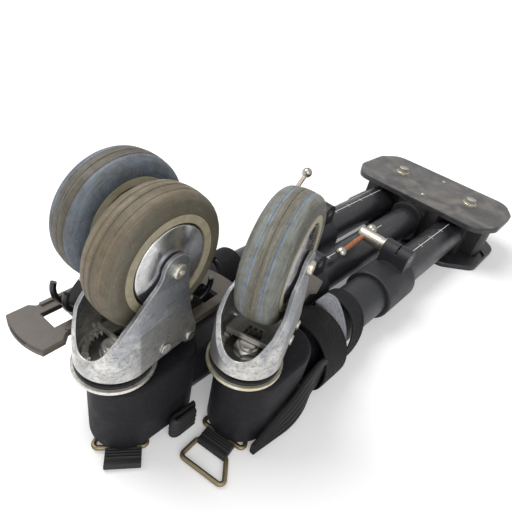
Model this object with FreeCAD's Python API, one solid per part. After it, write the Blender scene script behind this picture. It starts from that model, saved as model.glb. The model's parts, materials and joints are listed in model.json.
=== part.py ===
import FreeCAD, Part
import math
import os

# Three-leg tripod dolly, folded and lying upside down, casters up. Millimetres.
# The origin is on the floor under the middle of the hub. +X runs from the casters
# to the hub, +Y is the side of the left leg, +Z is up, and the floor is at z = 0.

# Layout
leg_spacing = 112.8
axis_height = 34.0
side_clamp_reach = 228.8
clamp_stagger = 98.0
side_caster_reach = 485.5
caster_stagger = 73.7
left_trail_angle = 184.0
middle_trail_angle = 5.0
right_trail_angle = 18.0
running_gap = 0.3
overrun = 5.0

# Hub plates, fasteners and lugs
hub_center_x = -3.0
hub_height = 70.8
top_plate_thickness = 8.0
top_plate_width = 130.0
top_plate_length = 224.0
top_corner_width = 34.0
top_corner_length = 18.0
bottom_plate_thickness = 7.0
bottom_plate_width = 156.0
bottom_plate_length = 225.0
bottom_corner_width = 36.0
bottom_corner_length = 38.0
plate_corner_radius = 24.0
plate_edge_radius = 2.5
pivot_bolt_diameter = 8.0
pivot_head_width = 11.0
pivot_head_height = 6.0
washer_diameter = 15.5
washer_thickness = 1.8
hub_pin_diameter = 5.0
hub_pin_spacing = 80.0
hub_pin_height = 0.8
dish_radius = 17.0
dish_depth = 2.5
dish_screw_radius = 4.5
dish_inset = 38.0
lug_radius = 24.0
lug_heel_radius = 45.0
lug_heel_width = 44.0
lug_neck_width = 43.0
lug_neck_reach = 46.0
middle_neck_reach = 80.0
middle_lug_width = 34.0
middle_lug_front = 46.0
neck_flare = 14.0
lug_corner_radius = 5.0

# Leg tubes
inner_tube_diameter = 42.6
inner_tube_wall = 2.5
inner_insertion = 138.0
outer_tube_diameter = 47.4
spigot_length = 34.0
end_plug_length = 12.0

# Clamp collar and its hand screw
collar_radius = 28.5
collar_hub_lead = 14.8
collar_length = 62.0
collar_grip_length = 25.0
collar_chamfer = 1.2
ear_height = 39.5
ear_radius = 10.5
ear_depth = 33.0
ear_slit = 2.0
ear_side_shift = 1.3
screw_diameter = 8.0
screw_socket_width = 5.0
screw_barrel_diameter = 12.0
screw_barrel_length = 31.8
screw_flange_diameter = 14.0
screw_flange_thickness = 2.0
bar_diameter = 6.0
bar_ball_diameter = 13.0
bar_ball_spacing = 63.0
bar_end_inset = 6.5
left_bar_shift = 0.0
middle_bar_shift = 17.0
right_bar_shift = -18.0
left_bar_tilt = 50.0
middle_bar_tilt = 8.0
right_bar_tilt = 8.0

# Leg-end casting with the seat for a tripod foot
casting_bottom = 7.0
casting_top = 77.0
casting_radius = 27.5
casting_side_shift = -3.0
casting_nose_back = 7.0
casting_tail_back = 38.0
casting_edge_radius = 4.0
socket_depth = 32.0
seat_back = 38.0
seat_ring_radius = 20.0
seat_bore_radius = 16.0
seat_bore_depth = 10.0

# Swivel bearing
race_radius = 29.1
race_thickness = 4.0
race_neck_radius = 23.0
race_neck_height = 2.5
seal_radius = 27.0
seal_thickness = 2.2
kingpin_diameter = 12.0
kingpin_bore_radius = 9.0
lock_disc_thickness = 1.5
lock_ring_radius = 21.4
lock_ring_inner_radius = 16.5
lock_tooth_height = 2.6
lock_tooth_count = 28
kingpin_nut_width = 18.0
kingpin_nut_height = 5.5
kingpin_tip_height = 1.4
kingpin_nut_bevel = 4.2

# Fork
crown_bottom = 86.5
crown_radius = 27.2
crown_foot_radius = 24.5
crown_foot_height = 3.5
crown_floor = 3.0
fork_sheet = 2.8
fork_back = 66.0
fork_low_back_width = 21.0
fork_mid_height = 126.0
fork_mid_width = 26.2
fork_mid_back_width = 20.0
fork_arm_height = 147.0
fork_arm_width = 20.6
axle_height = 158.0
wheel_trail = 33.0
axle_boss_radius = 11.3
pedal_pivot_back = 50.0
pedal_pivot_height = 88.0
pedal_tab_radius = 6.3
rivet_back = 23.0
rivet_radius = 2.5
rivet_head_radius = 4.0
rivet_head_height = 1.0
lip_height = 7.5
front_sweep_shares = [(-0.74, 0.34), (-0.46, 0.57), (0.02, 0.745), (0.50, 0.855)]
rear_sweep_shares = [(1.66, 0.75), (1.73, 0.54), (1.86, 0.34), (2.08, 0.14)]

# Brake plate
brake_plate_thickness = 1.6
brake_plate_width = 38.0
brake_front_back = 0.5
brake_plate_length = 34.0
brake_lip_rise = 3.0
brake_tail_back = 43.0
brake_tail_drop = 8.0
brake_window_start = 3.0
brake_window_length = 13.0
brake_window_width = 14.0

# Wheel and axle
wheel_radius = 50.0
tyre_half_width = 15.8
tyre_shoulder_radius = 9.0
tyre_seat_radius = 36.4
tread_groove_width = 1.6
tread_groove_depth = 0.7
tread_groove_offset = 6.0
core_half_width = 15.2
core_recess_radius = 30.8
core_recess_depth = 4.5
core_web_half = 5.0
core_hub_radius = 15.0
core_hub_half = 13.0
bearing_outer_radius = 11.0
bearing_width = 8.0
spacer_radius = 7.0
bearing_clearance = 0.05
axle_radius = 5.0
axle_head_radius = 5.6
axle_head_height = 3.6
axle_socket_width = 5.0
axle_nut_width = 13.0
axle_nut_height = 4.0
guard_radius = 29.2
guard_rim_half = 13.6
guard_sheet = 1.0
guard_dome = 1.4
guard_lip = 0.9

# Brake pedal and its release lever
pedal_thickness = 4.6
pedal_drop = 0.6
pedal_waist = 36.0
pedal_width = 47.0
pedal_hub_radius = 5.6
pedal_hub_width = 37.0
pedal_flare_back = 97.0
pedal_edge_back = 113.0
pedal_edge_bulge = 5.0
pedal_window_start = 79.0
pedal_window_end = 96.0
pedal_window_width = 18.0
pedal_rim_width = 3.0
pedal_rim_height = 1.6
pedal_pin_radius = 3.0
pedal_pin_head_radius = 4.4
pedal_pin_head_height = 1.4
pedal_pad_bevel = 1.4
lever_start = 60.0
lever_crest_back = 64.0
lever_end = 77.0
lever_width = 17.0
lever_crest_height = 17.0
lever_tail_height = 4.0
horn_spread = 8.0
horn_foot_inset = 4.5
horn_rise = 24.0
horn_reach = 84.0
horn_bow = 4.5
horn_radius = 2.3

# Bent-wire anchor ring, ribbed rubber link and wire hook at each foot
wire_diameter = 4.0
wire_height = 3.5
wire_corner_radius = 3.5
ring_front_length = 43.0
ring_back_length = 26.0
ring_depth = 20.0
ring_post_back = 4.0
ring_post_radius = 6.0
ring_post_foot = 1.2
link_length = 27.0
link_pitch = 14.0
link_radius = 3.2
link_rib_height = 0.8
link_rib_count = 4
link_rib_share = 0.55
middle_link_slide = -2.8
hook_front_length = 42.0
hook_back_length = 28.0
hook_depth = 20.0
hook_side_shift = -5.0
left_ring_turn = 0.0
middle_ring_turn = 52.0
right_ring_turn = 11.0

# Ribbed rubber strap beside a casting; its path goes up over the leg tube
strap_thickness = 5.0
strap_width = 22.0
strap_end_width = 11.0
strap_end_forward = 9.0
strap_side_gap = 0.6
strap_floor_gap = 4.0
strap_turn_back = 78.0
strap_turn_drop = 4.5
strap_climb_back = 96.0
strap_shoulder_back = 109.0
strap_top_back = 126.0
strap_shoulder_lean = -40.0
strap_top_lean = -88.0
strap_turn_shares = (0.35, 0.7, 1.0)
strap_tail = 15.0
strap_tube_gap = 3.2
middle_strap_back = 25.0
middle_strap_length = 26.0
middle_strap_lift = 2.0

# Webbing wrapped round a leg tube, one narrow band after another
webbing_thickness = 1.8
webbing_corner_radius = 9.0
webbing_tube_gap = 0.3
webbing_sag = 4.0
right_webbing_start = 76.0
right_webbing_width = 33.0
right_webbing_step = 65.5
right_webbing_second_width = 20.0
right_webbing_bulge = 12.0
right_webbing_rise = 13.0
left_webbing_start = 74.0
left_webbing_width = 24.0
left_webbing_step = 25.0
left_webbing_second_width = 9.0
left_webbing_bulge = 3.0
left_webbing_rise = 18.0
right_second_rise = 3.2
left_second_rise = 0.0

side_pivot_y = leg_spacing / 2
lug_bottom = bottom_plate_thickness + running_gap
lug_top = hub_height - top_plate_thickness - running_gap
middle_clamp_reach = side_clamp_reach + clamp_stagger
middle_caster_reach = side_caster_reach + caster_stagger
race_bottom = casting_top
race_top = race_bottom + race_neck_height + race_thickness
seal_bottom = race_top
lock_disc_bottom = crown_bottom + crown_floor + running_gap
lock_disc_top = lock_disc_bottom + lock_disc_thickness
brake_plate_bottom = lock_disc_top + kingpin_nut_height + kingpin_tip_height + 2 * running_gap
wire_radius = wire_diameter / 2
tube_radius = outer_tube_diameter / 2
ear_top = axis_height + ear_height

legs = {
    "left": {"y": side_pivot_y, "clamp": side_clamp_reach, "caster": side_caster_reach,
             "trail": left_trail_angle, "bar_shift": left_bar_shift, "bar_tilt": left_bar_tilt,
             "ring_turn": left_ring_turn},
    "middle": {"y": 0, "clamp": middle_clamp_reach, "caster": middle_caster_reach,
               "trail": middle_trail_angle, "bar_shift": middle_bar_shift,
               "bar_tilt": middle_bar_tilt, "ring_turn": middle_ring_turn},
    "right": {"y": -side_pivot_y, "clamp": side_clamp_reach, "caster": side_caster_reach,
              "trail": right_trail_angle, "bar_shift": right_bar_shift,
              "bar_tilt": right_bar_tilt, "ring_turn": right_ring_turn},
}


def vector(x, y, z=0):
    return FreeCAD.Vector(x, y, z)


def box(x0, x1, y0, y1, z0, z1):
    return Part.makeBox(x1 - x0, y1 - y0, z1 - z0, vector(x0, y0, z0))


def rod_x(radius, x0, x1, y=0, z=0):
    return Part.makeCylinder(radius, x1 - x0, vector(x0, y, z), vector(1, 0, 0))


def rod_y(radius, y0, y1, x=0, z=0):
    return Part.makeCylinder(radius, y1 - y0, vector(x, y0, z), vector(0, 1, 0))


def rod_z(radius, z0, z1, x=0, y=0):
    return Part.makeCylinder(radius, z1 - z0, vector(x, y, z0), vector(0, 0, 1))


def moved(shape, x=0, y=0, z=0):
    copy = shape.copy()
    copy.translate(vector(x, y, z))
    return copy


def turned(shape, angle, axis=(0, 0, 1), at=(0, 0, 0)):
    copy = shape.copy()
    copy.rotate(vector(*at), vector(*axis), angle)
    return copy


def fused(shapes):
    whole = shapes[0]
    for shape in shapes[1:]:
        whole = whole.fuse(shape)
    return whole.removeSplitter()


def mirrored_y(shape):
    return shape.mirror(vector(0, 0, 0), vector(0, 1, 0))


def rounded_wire(points, radius):
    """Closed wire in XY through the points, each corner an arc of the given radius."""
    corners = [vector(*point) for point in points]
    starts = []
    ends = []
    mids = []
    for i, corner in enumerate(corners):
        to_last = (corners[i - 1] - corner).normalize()
        to_next = (corners[(i + 1) % len(corners)] - corner).normalize()
        half = to_last.getAngle(to_next) / 2
        reach = radius / math.tan(half)
        middle = (to_last + to_next).normalize()
        starts.append(corner + to_last * reach)
        ends.append(corner + to_next * reach)
        mids.append(corner + middle * (radius / math.sin(half) - radius))
    edges = []
    for i in range(len(corners)):
        edges.append(Part.Arc(starts[i], mids[i], ends[i]).toShape())
        edges.append(Part.makeLine(ends[i], starts[(i + 1) % len(corners)]))
    return Part.Wire(edges)


def plate(wire, z0, z1):
    solid = Part.Face(wire).extrude(vector(0, 0, z1 - z0))
    return moved(solid, z=z0)


def hexagon(width, z0, z1):
    reach = width / math.sqrt(3)
    points = [vector(reach * math.cos(math.pi / 3 * i), reach * math.sin(math.pi / 3 * i))
              for i in range(6)]
    return plate(Part.makePolygon(points + points[:1]), z0, z1)


def capped_slot(x0, x1, radius, z0, z1):
    """Upright block with half-round ends, centred on y = 0, its end centres at x0 and x1."""
    block = box(x0, x1, -radius, radius, z0, z1)
    return fused([block, rod_z(radius, z0, z1, x0), rod_z(radius, z0, z1, x1)])


def octagon_plate(width, length, corner_width, corner_length, z0, z1):
    x, y = width / 2, length / 2
    points = [(x, y - corner_length), (x - corner_width, y), (-x + corner_width, y),
              (-x, y - corner_length), (-x, -y + corner_length), (-x + corner_width, -y),
              (x - corner_width, -y), (x, -y + corner_length)]
    return moved(plate(rounded_wire(points, plate_corner_radius), z0, z1), x=hub_center_x)


def softened(solid, radius, picks):
    edges = [edge for edge in solid.Edges if picks(edge)]
    return solid.makeFillet(radius, edges)


def level_edge(z):
    def picks(edge):
        return abs(edge.BoundBox.ZMin - z) < running_gap and abs(edge.BoundBox.ZMax - z) < running_gap
    return picks


def hub_top_plate():
    bottom = hub_height - top_plate_thickness
    solid = octagon_plate(top_plate_width, top_plate_length, top_corner_width, top_corner_length,
                          bottom, hub_height)
    solid = softened(solid, plate_edge_radius, level_edge(hub_height))
    for y in (-side_pivot_y, side_pivot_y):
        solid = solid.cut(rod_z(pivot_bolt_diameter / 2, bottom - overrun, hub_height + overrun, 0, y))
    for x in hub_pin_places():
        solid = solid.cut(rod_z(hub_pin_diameter / 2, bottom - overrun, hub_height + overrun, x))
    return solid


def hub_pin_places():
    return [hub_center_x - hub_pin_spacing / 2, hub_center_x + hub_pin_spacing / 2]


def dish_places():
    reach = bottom_plate_length / 2 - dish_inset / 2
    return [(hub_center_x, -reach), (hub_center_x, reach)]


def hub_bottom_plate():
    solid = octagon_plate(bottom_plate_width, bottom_plate_length, bottom_corner_width,
                          bottom_corner_length, 0, bottom_plate_thickness)
    solid = softened(solid, plate_edge_radius, level_edge(bottom_plate_thickness))
    for y in (-side_pivot_y, side_pivot_y):
        solid = solid.cut(rod_z(pivot_bolt_diameter / 2, -overrun, bottom_plate_thickness + overrun, 0, y))
        solid = solid.cut(rod_z(washer_diameter / 2, -overrun, washer_thickness, 0, y))
    for x in hub_pin_places():
        solid = solid.cut(rod_z(hub_pin_diameter / 2, -overrun, bottom_plate_thickness + overrun, x))
    for x, y in dish_places():
        dish = rod_z(dish_radius, bottom_plate_thickness - dish_depth,
                     bottom_plate_thickness + overrun, x, y)
        screw_hole = rod_z(dish_screw_radius, -overrun, bottom_plate_thickness, x, y)
        solid = solid.cut(dish).cut(screw_hole)
    return solid


def pivot_bolt():
    head_bottom = hub_height + washer_thickness
    shank = rod_z(pivot_bolt_diameter / 2, washer_thickness, head_bottom)
    washer = rod_z(washer_diameter / 2, hub_height, head_bottom)
    head = hexagon(pivot_head_width, head_bottom, head_bottom + pivot_head_height)
    foot = rod_z(washer_diameter / 2, 0, washer_thickness)
    return fused([shank, washer, head, foot])


def hub_fasteners():
    bolts = [moved(pivot_bolt(), y=y) for y in (-side_pivot_y, side_pivot_y)]
    pins = [rod_z(hub_pin_diameter / 2, 0, hub_height + hub_pin_height, x)
            for x in hub_pin_places()]
    screws = []
    for x, y in dish_places():
        screws.append(rod_z(dish_screw_radius, 0, bottom_plate_thickness - dish_depth, x, y))
    return Part.makeCompound(bolts + pins + screws)


def spigot(reach):
    bore = inner_tube_diameter / 2 - inner_tube_wall
    return rod_x(bore, -reach - spigot_length, -reach + overrun, 0, axis_height)


def side_lug(heel_side):
    """Bearing block of a side leg on its pivot at the origin, heel towards heel_side."""
    height = (lug_bottom, lug_top)
    disc = rod_z(lug_radius, *height)
    neck = box(-lug_neck_reach, 0, -lug_neck_width / 2, lug_neck_width / 2, *height)
    heel = rod_z(lug_heel_radius, *height).common(
        box(-lug_heel_width / 2, lug_heel_width / 2, 0, lug_heel_radius + overrun, *height))
    solid = fused([disc, neck, heel, spigot(lug_neck_reach)])
    if heel_side < 0:
        solid = mirrored_y(solid)
    return solid.cut(rod_z(pivot_bolt_diameter / 2 + bearing_clearance, 0, hub_height))


def middle_lug():
    z0, z1 = bottom_plate_thickness, hub_height - top_plate_thickness
    half = middle_lug_width / 2
    tip = half + lug_corner_radius
    points = [(middle_lug_front, half), (-middle_lug_front, half),
              (-middle_lug_front - neck_flare, tip), (-middle_neck_reach, tip),
              (-middle_neck_reach, -tip), (-middle_lug_front - neck_flare, -tip),
              (-middle_lug_front, -half), (middle_lug_front, -half)]
    block = Part.makePolygon([vector(*point) for point in points + points[:1]])
    solid = plate(block, z0, z1)
    crop = rod_x((z1 - z0) / 2, -middle_neck_reach - overrun, middle_lug_front + overrun,
                 0, (z1 + z0) / 2)
    beyond = box(-middle_neck_reach, -top_plate_width / 2 + hub_center_x, -tip, tip, z0, z1)
    solid = solid.cut(beyond.cut(crop))
    for x in hub_pin_places():
        solid = solid.cut(rod_z(hub_pin_diameter / 2, 0, hub_height, x))
    return fused([solid, spigot(middle_neck_reach)])


def inner_tube(start, clamp):
    end = clamp + inner_insertion
    outside = rod_x(inner_tube_diameter / 2, -end, -start, 0, axis_height)
    inside = rod_x(inner_tube_diameter / 2 - inner_tube_wall, -end + end_plug_length,
                   -start + overrun, 0, axis_height)
    return outside.cut(inside)


def outer_tube(clamp, caster):
    front = clamp - collar_hub_lead + collar_grip_length
    back = caster - casting_tail_back - casting_radius + socket_depth
    bore = inner_tube_diameter / 2 + running_gap
    outside = rod_x(outer_tube_diameter / 2, -back, -front, 0, axis_height)
    return outside.cut(rod_x(bore, -back - overrun, -front + overrun, 0, axis_height))


def clamp_collar(clamp):
    front = -clamp + collar_hub_lead
    back = front - collar_length
    step = front - collar_grip_length
    barrel = rod_x(collar_radius, back, front, 0, axis_height)
    barrel = barrel.makeChamfer(collar_chamfer, [edge for edge in barrel.Edges
                                                 if len(edge.Vertexes) == 1])
    ear_y0 = -ear_depth / 2 + ear_side_shift
    ear = box(-clamp - ear_radius, -clamp + ear_radius, ear_y0, ear_y0 + ear_depth,
              axis_height, ear_top)
    crest = rod_y(ear_radius, ear_y0, ear_y0 + ear_depth, -clamp, ear_top)
    solid = fused([barrel, ear, crest])
    grip_bore = rod_x(inner_tube_diameter / 2 + running_gap, step - overrun, front + overrun,
                      0, axis_height)
    tube_seat = rod_x(outer_tube_diameter / 2, back - overrun, step, 0, axis_height)
    slit = box(step, front + overrun, -ear_slit / 2, ear_slit / 2, axis_height,
               ear_top + ear_radius + overrun)
    screw_bore = rod_y(screw_diameter / 2 + bearing_clearance, ear_y0 - overrun,
                       ear_y0 + ear_depth + overrun, -clamp, ear_top)
    return solid.cut(grip_bore).cut(tube_seat).cut(slit).cut(screw_bore)


def clamp_screw(clamp):
    """Screw along +Y through both ears, with a cross-drilled barrel at its end."""
    y0 = -ear_depth / 2 + ear_side_shift
    y1 = y0 + ear_depth + running_gap
    tip = y1 + screw_flange_thickness + screw_barrel_length
    shank = rod_y(screw_diameter / 2, y0, y1 + overrun, -clamp, ear_top)
    flange = rod_y(screw_flange_diameter / 2, y1, y1 + screw_flange_thickness, -clamp, ear_top)
    barrel = rod_y(screw_barrel_diameter / 2, y1, tip, -clamp, ear_top)
    socket = turned(hexagon(screw_socket_width, -overrun, overrun), -90, (1, 0, 0))
    socket = moved(socket, -clamp, y0, ear_top)
    cross = rod_x(bar_diameter / 2 + bearing_clearance, -screw_barrel_diameter,
                  screw_barrel_diameter, 0, 0)
    solid = fused([shank, flange, barrel]).cut(socket)
    return solid, moved(cross, -clamp, tip - bar_end_inset, ear_top)


def tommy_bar(clamp, shift):
    y = -ear_depth / 2 + ear_side_shift + ear_depth + running_gap + screw_flange_thickness
    y += screw_barrel_length - bar_end_inset
    half = bar_ball_spacing / 2
    ball, bar = bar_ball_diameter / 2, bar_diameter / 2
    neck = half - math.sqrt(ball * ball - bar * bar)
    profile = [Part.Arc(vector(-half - ball, 0), vector(-half, ball), vector(-neck, bar)).toShape(),
               Part.makeLine(vector(-neck, bar), vector(neck, bar)),
               Part.Arc(vector(neck, bar), vector(half, ball), vector(half + ball, 0)).toShape(),
               Part.makeLine(vector(half + ball, 0), vector(-half - ball, 0))]
    whole = Part.Face(Part.Wire(profile)).revolve(vector(0, 0, 0), vector(1, 0, 0), 360)
    return moved(whole, -clamp + shift, y, ear_top)


def foot_casting(leg):
    """Leg-end block: tube socket, bearing land, rimmed foot seat and the ring's post."""
    tail = casting_tail_back
    block = capped_slot(casting_nose_back, tail, casting_radius, casting_bottom, casting_top)
    block = softened(block, casting_edge_radius, lambda edge: level_edge(casting_top)(edge)
                     or level_edge(casting_bottom)(edge))
    block = moved(block, y=casting_side_shift)
    back = tail + casting_radius
    socket = rod_x(tube_radius, back - socket_depth, back + overrun, 0, axis_height)
    race_land = rod_z(race_neck_radius, casting_top - overrun, casting_top)
    kingpin_hole = rod_z(kingpin_diameter / 2, casting_top - 2 * overrun, casting_top + overrun)
    ring = rod_z(seat_ring_radius, 0, casting_bottom + overrun, seat_back, casting_side_shift)
    seat = rod_z(seat_bore_radius, -overrun, seat_bore_depth, seat_back, casting_side_shift)
    post = rod_z(ring_post_radius, ring_post_foot, casting_bottom + overrun)
    pin_room = rod_y(wire_radius + bearing_clearance, -2 * ring_post_radius, 2 * ring_post_radius,
                     0, wire_height)
    post = moved(turned(post.cut(pin_room), leg["ring_turn"]), ring_post_back, casting_side_shift)
    solid = fused([block, race_land, ring]).cut(socket).cut(kingpin_hole).cut(seat)
    return moved(solid.fuse(post).removeSplitter(), x=-leg["caster"])


def swivel_bearing():
    """Fixed half of the swivel: flanged race on the casting and the seal on top of it."""
    neck = rod_z(race_neck_radius, race_bottom, race_bottom + race_neck_height)
    flange = rod_z(race_radius, race_bottom + race_neck_height, race_top)
    flange = flange.makeChamfer(race_neck_height / 2, [edge for edge in flange.Edges
                                if len(edge.Vertexes) == 1 and edge.BoundBox.ZMax < race_top])
    race = fused([neck, flange])
    race = race.cut(rod_z(kingpin_diameter / 2, race_bottom - overrun, race_top + overrun))
    seal = rod_z(seal_radius, seal_bottom, seal_bottom + seal_thickness)
    seal = seal.cut(rod_z(kingpin_bore_radius, seal_bottom - overrun, seal_bottom + overrun))
    return Part.makeCompound([race, seal])


def kingpin_set():
    """Kingpin, the fixed toothed ring that the brake locks into, and the nut."""
    nut_top = lock_disc_top + kingpin_nut_height
    pin = rod_z(kingpin_diameter / 2, casting_top - 2 * overrun, nut_top + kingpin_tip_height)
    disc = rod_z(lock_ring_radius, lock_disc_bottom, lock_disc_top)
    nut = hexagon(kingpin_nut_width, lock_disc_top, nut_top)
    nut = nut.common(Part.makeCone(kingpin_nut_width / 2 + kingpin_nut_bevel,
                                   kingpin_nut_width / 2 - kingpin_tip_height / 2,
                                   kingpin_nut_height, vector(0, 0, lock_disc_top)))
    crest = lock_disc_top + lock_tooth_height
    teeth = []
    step = 360 / lock_tooth_count
    for i in range(lock_tooth_count):
        width = math.pi * lock_ring_inner_radius / lock_tooth_count
        tooth = box(lock_ring_inner_radius, lock_ring_radius, -width / 2, width / 2,
                    lock_disc_top - lock_disc_thickness / 2, crest)
        teeth.append(turned(tooth, i * step))
    trim = rod_z(lock_ring_radius, lock_disc_bottom, crest)
    solid = disc.fuse(teeth).common(trim)
    return fused([solid, pin, nut])


def fork_section(z, radius, back_half):
    arc = Part.Arc(vector(0, radius, z), vector(-radius, 0, z), vector(0, -radius, z)).toShape()
    right = Part.makeLine(vector(0, -radius, z), vector(fork_back, -back_half, z))
    rear = Part.makeLine(vector(fork_back, -back_half, z), vector(fork_back, back_half, z))
    left = Part.makeLine(vector(fork_back, back_half, z), vector(0, radius, z))
    return Part.Wire([arc, right, rear, left])


def fork_body(inset, bottom):
    """Drawn shape of the fork, closed all round, before its side outline is trimmed."""
    top = axle_height + axle_boss_radius + overrun
    foot = bottom + crown_foot_height
    sections = [(bottom, crown_foot_radius, fork_low_back_width),
                (foot, crown_radius, fork_low_back_width),
                (fork_mid_height, fork_mid_width, fork_mid_back_width),
                (fork_arm_height, fork_arm_width, fork_arm_width),
                (top, fork_arm_width, fork_arm_width)]
    wires = [fork_section(z, radius - inset, half - inset) for z, radius, half in sections]
    return Part.makeLoft(wires, True, True)


def fork_outline():
    """Side view of the fork as a slab: lip, front sweep, axle boss, rear sweep, foot."""
    rise = axle_height - crown_bottom

    def place(share_x, share_z):
        return vector(share_x * crown_radius, 0, crown_bottom + share_z * rise)

    front = [place(*share) for share in front_sweep_shares]
    rear = [place(*share) for share in rear_sweep_shares]
    lip = vector(-crown_radius - overrun, 0, crown_bottom + lip_height)
    boss_left = vector(wheel_trail - axle_boss_radius, 0, axle_height)
    boss_top = vector(wheel_trail, 0, axle_height + axle_boss_radius)
    boss_right = vector(wheel_trail + axle_boss_radius, 0, axle_height)
    heel = vector(pedal_pivot_back + pedal_tab_radius, 0, crown_bottom)
    toe = vector(-crown_radius - overrun, 0, crown_bottom)
    sweep_front = Part.BSplineCurve()
    sweep_front.interpolate([lip] + front + [boss_left])
    sweep_rear = Part.BSplineCurve()
    sweep_rear.interpolate([boss_right] + rear)
    edges = [sweep_front.toShape(), Part.Arc(boss_left, boss_top, boss_right).toShape(),
             sweep_rear.toShape(), Part.makeLine(rear[-1], heel), Part.makeLine(heel, toe),
             Part.makeLine(toe, lip)]
    slab = Part.Face(Part.Wire(edges)).extrude(vector(0, 2 * crown_radius + 2 * overrun, 0))
    return moved(slab, y=-crown_radius - overrun)


def fork():
    shell = fork_body(0, crown_bottom).cut(fork_body(fork_sheet, crown_bottom + crown_floor))
    back_wall = box(fork_back - 2 * fork_sheet, fork_back + overrun, -crown_radius, crown_radius,
                    crown_bottom - overrun, axle_height + 2 * axle_boss_radius)
    floor_back = box(0, fork_back, -crown_radius, crown_radius, crown_bottom - overrun,
                     crown_bottom + crown_floor)
    round_floor = rod_z(crown_foot_radius, crown_bottom, crown_bottom + crown_floor)
    arms = shell.cut(back_wall).common(fork_outline())
    tab_half = wall_half(pedal_pivot_back + pedal_tab_radius)
    tabs = []
    for y0 in (-tab_half, tab_half - fork_sheet):
        tabs.append(rod_y(pedal_tab_radius, y0, y0 + fork_sheet, pedal_pivot_back, pedal_pivot_height))
    solid = arms.cut(floor_back.cut(wall_room())).fuse([round_floor] + tabs)
    solid = solid.cut(rod_z(kingpin_bore_radius, crown_bottom - overrun,
                            crown_bottom + crown_floor + overrun))
    for radius, back, z in ((axle_radius, wheel_trail, axle_height),
                            (pedal_pin_radius, pedal_pivot_back, pedal_pivot_height),
                            (rivet_radius, rivet_back, rivet_height())):
        solid = solid.cut(rod_y(radius, -crown_radius - overrun, crown_radius + overrun, back, z))
    return solid.removeSplitter()


def wall_room():
    """Space of the two side walls, kept while the floor behind the crown is removed."""
    outer = fork_body(0, crown_bottom)
    return outer.cut(fork_body(fork_sheet, crown_bottom - 2 * overrun))


def rivet_height():
    return brake_plate_bottom - rivet_radius


def brake_plate():
    z0 = brake_plate_bottom
    t = brake_plate_thickness
    front, flat_end = brake_front_back, brake_plate_length
    top = z0 + t + brake_lip_rise
    points = [(front, z0), (front, top), (front + t, top), (front + t, z0 + t), (flat_end, z0 + t),
              (brake_tail_back, z0 + t - brake_tail_drop), (brake_tail_back, z0 - brake_tail_drop),
              (flat_end, z0)]
    corners = [vector(x, 0, z) for x, z in points]
    sheet = Part.Face(Part.makePolygon(corners + corners[:1]))
    sheet = moved(sheet.extrude(vector(0, brake_plate_width, 0)), y=-brake_plate_width / 2)
    window = box(brake_window_start, brake_window_start + brake_window_length,
                 -brake_window_width / 2, brake_window_width / 2, z0 - overrun, z0 + overrun)
    return sheet.cut(window)


def axle_set():
    """Axle with head, nut, spacer and the two domed thread guards, on the wheel axis."""
    arm_out = fork_arm_width
    arm_in = fork_arm_width - fork_sheet
    shaft = rod_y(axle_radius, -arm_out, arm_out + axle_nut_height)
    head = rod_y(axle_head_radius, -arm_out - axle_head_height, -arm_out)
    head = head.makeChamfer(axle_head_height / 3, [edge for edge in head.Edges
                            if len(edge.Vertexes) == 1 and edge.BoundBox.YMin < -arm_out - overrun / 2])
    socket = turned(hexagon(axle_socket_width, -overrun, overrun), 90, (1, 0, 0))
    head = head.cut(moved(socket, y=-arm_out - axle_head_height))
    nut = turned(hexagon(axle_nut_width, arm_out, arm_out + axle_nut_height), -90, (1, 0, 0))
    spacer = rod_y(spacer_radius, -arm_in, arm_in)
    guards = []
    for side in (-1, 1):
        rim, crest = guard_rim_half, guard_rim_half + guard_dome
        lip = guard_radius - guard_sheet
        profile = [vector(spacer_radius / 2, crest + guard_sheet),
                   vector(guard_radius / 2, crest + guard_sheet), vector(lip, rim + guard_sheet),
                   vector(guard_radius, rim + guard_sheet - guard_lip / 2),
                   vector(guard_radius, rim - guard_lip), vector(lip, rim - guard_lip),
                   vector(lip, rim), vector(guard_radius / 2, crest),
                   vector(spacer_radius / 2, crest)]
        face = Part.Face(Part.makePolygon(profile + profile[:1]))
        guard = face.revolve(vector(0, 0, 0), vector(0, 1, 0), 360)
        guards.append(guard if side > 0 else mirrored_y(guard))
    solid = fused([shaft, head, nut, spacer] + guards)
    return moved(solid, wheel_trail, 0, axle_height)


def revolved_y(points):
    corners = [vector(radius, y) for radius, y in points]
    face = Part.Face(Part.makePolygon(corners + corners[:1]))
    return face.revolve(vector(0, 0, 0), vector(0, 1, 0), 360)


def tyre():
    r, w, s = wheel_radius, tyre_half_width, tyre_shoulder_radius
    side = wheel_radius - tyre_seat_radius
    lean = s * (1 - math.sqrt(0.5))
    crown = tread_groove_depth
    arcs = [Part.Arc(vector(r - crown, -w + s), vector(r, 0), vector(r - crown, w - s)).toShape(),
            Part.Arc(vector(r - crown, w - s), vector(r - crown - lean, w - lean),
                     vector(r - crown - s, w)).toShape(),
            Part.makeLine(vector(r - crown - s, w), vector(r - side, core_half_width)),
            Part.makeLine(vector(r - side, core_half_width), vector(r - side, -core_half_width)),
            Part.makeLine(vector(r - side, -core_half_width), vector(r - crown - s, -w)),
            Part.Arc(vector(r - crown - s, -w), vector(r - crown - lean, -w + lean),
                     vector(r - crown, -w + s)).toShape()]
    solid = Part.Face(Part.Wire(arcs)).revolve(vector(0, 0, 0), vector(0, 1, 0), 360)
    half = tread_groove_width / 2
    for y in (-tread_groove_offset, 0, tread_groove_offset):
        groove = rod_y(r + overrun, y - half, y + half)
        solid = solid.cut(groove.cut(rod_y(r - 2 * tread_groove_depth, y - overrun, y + overrun)))
    return moved(solid, wheel_trail, 0, axle_height)


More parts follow.
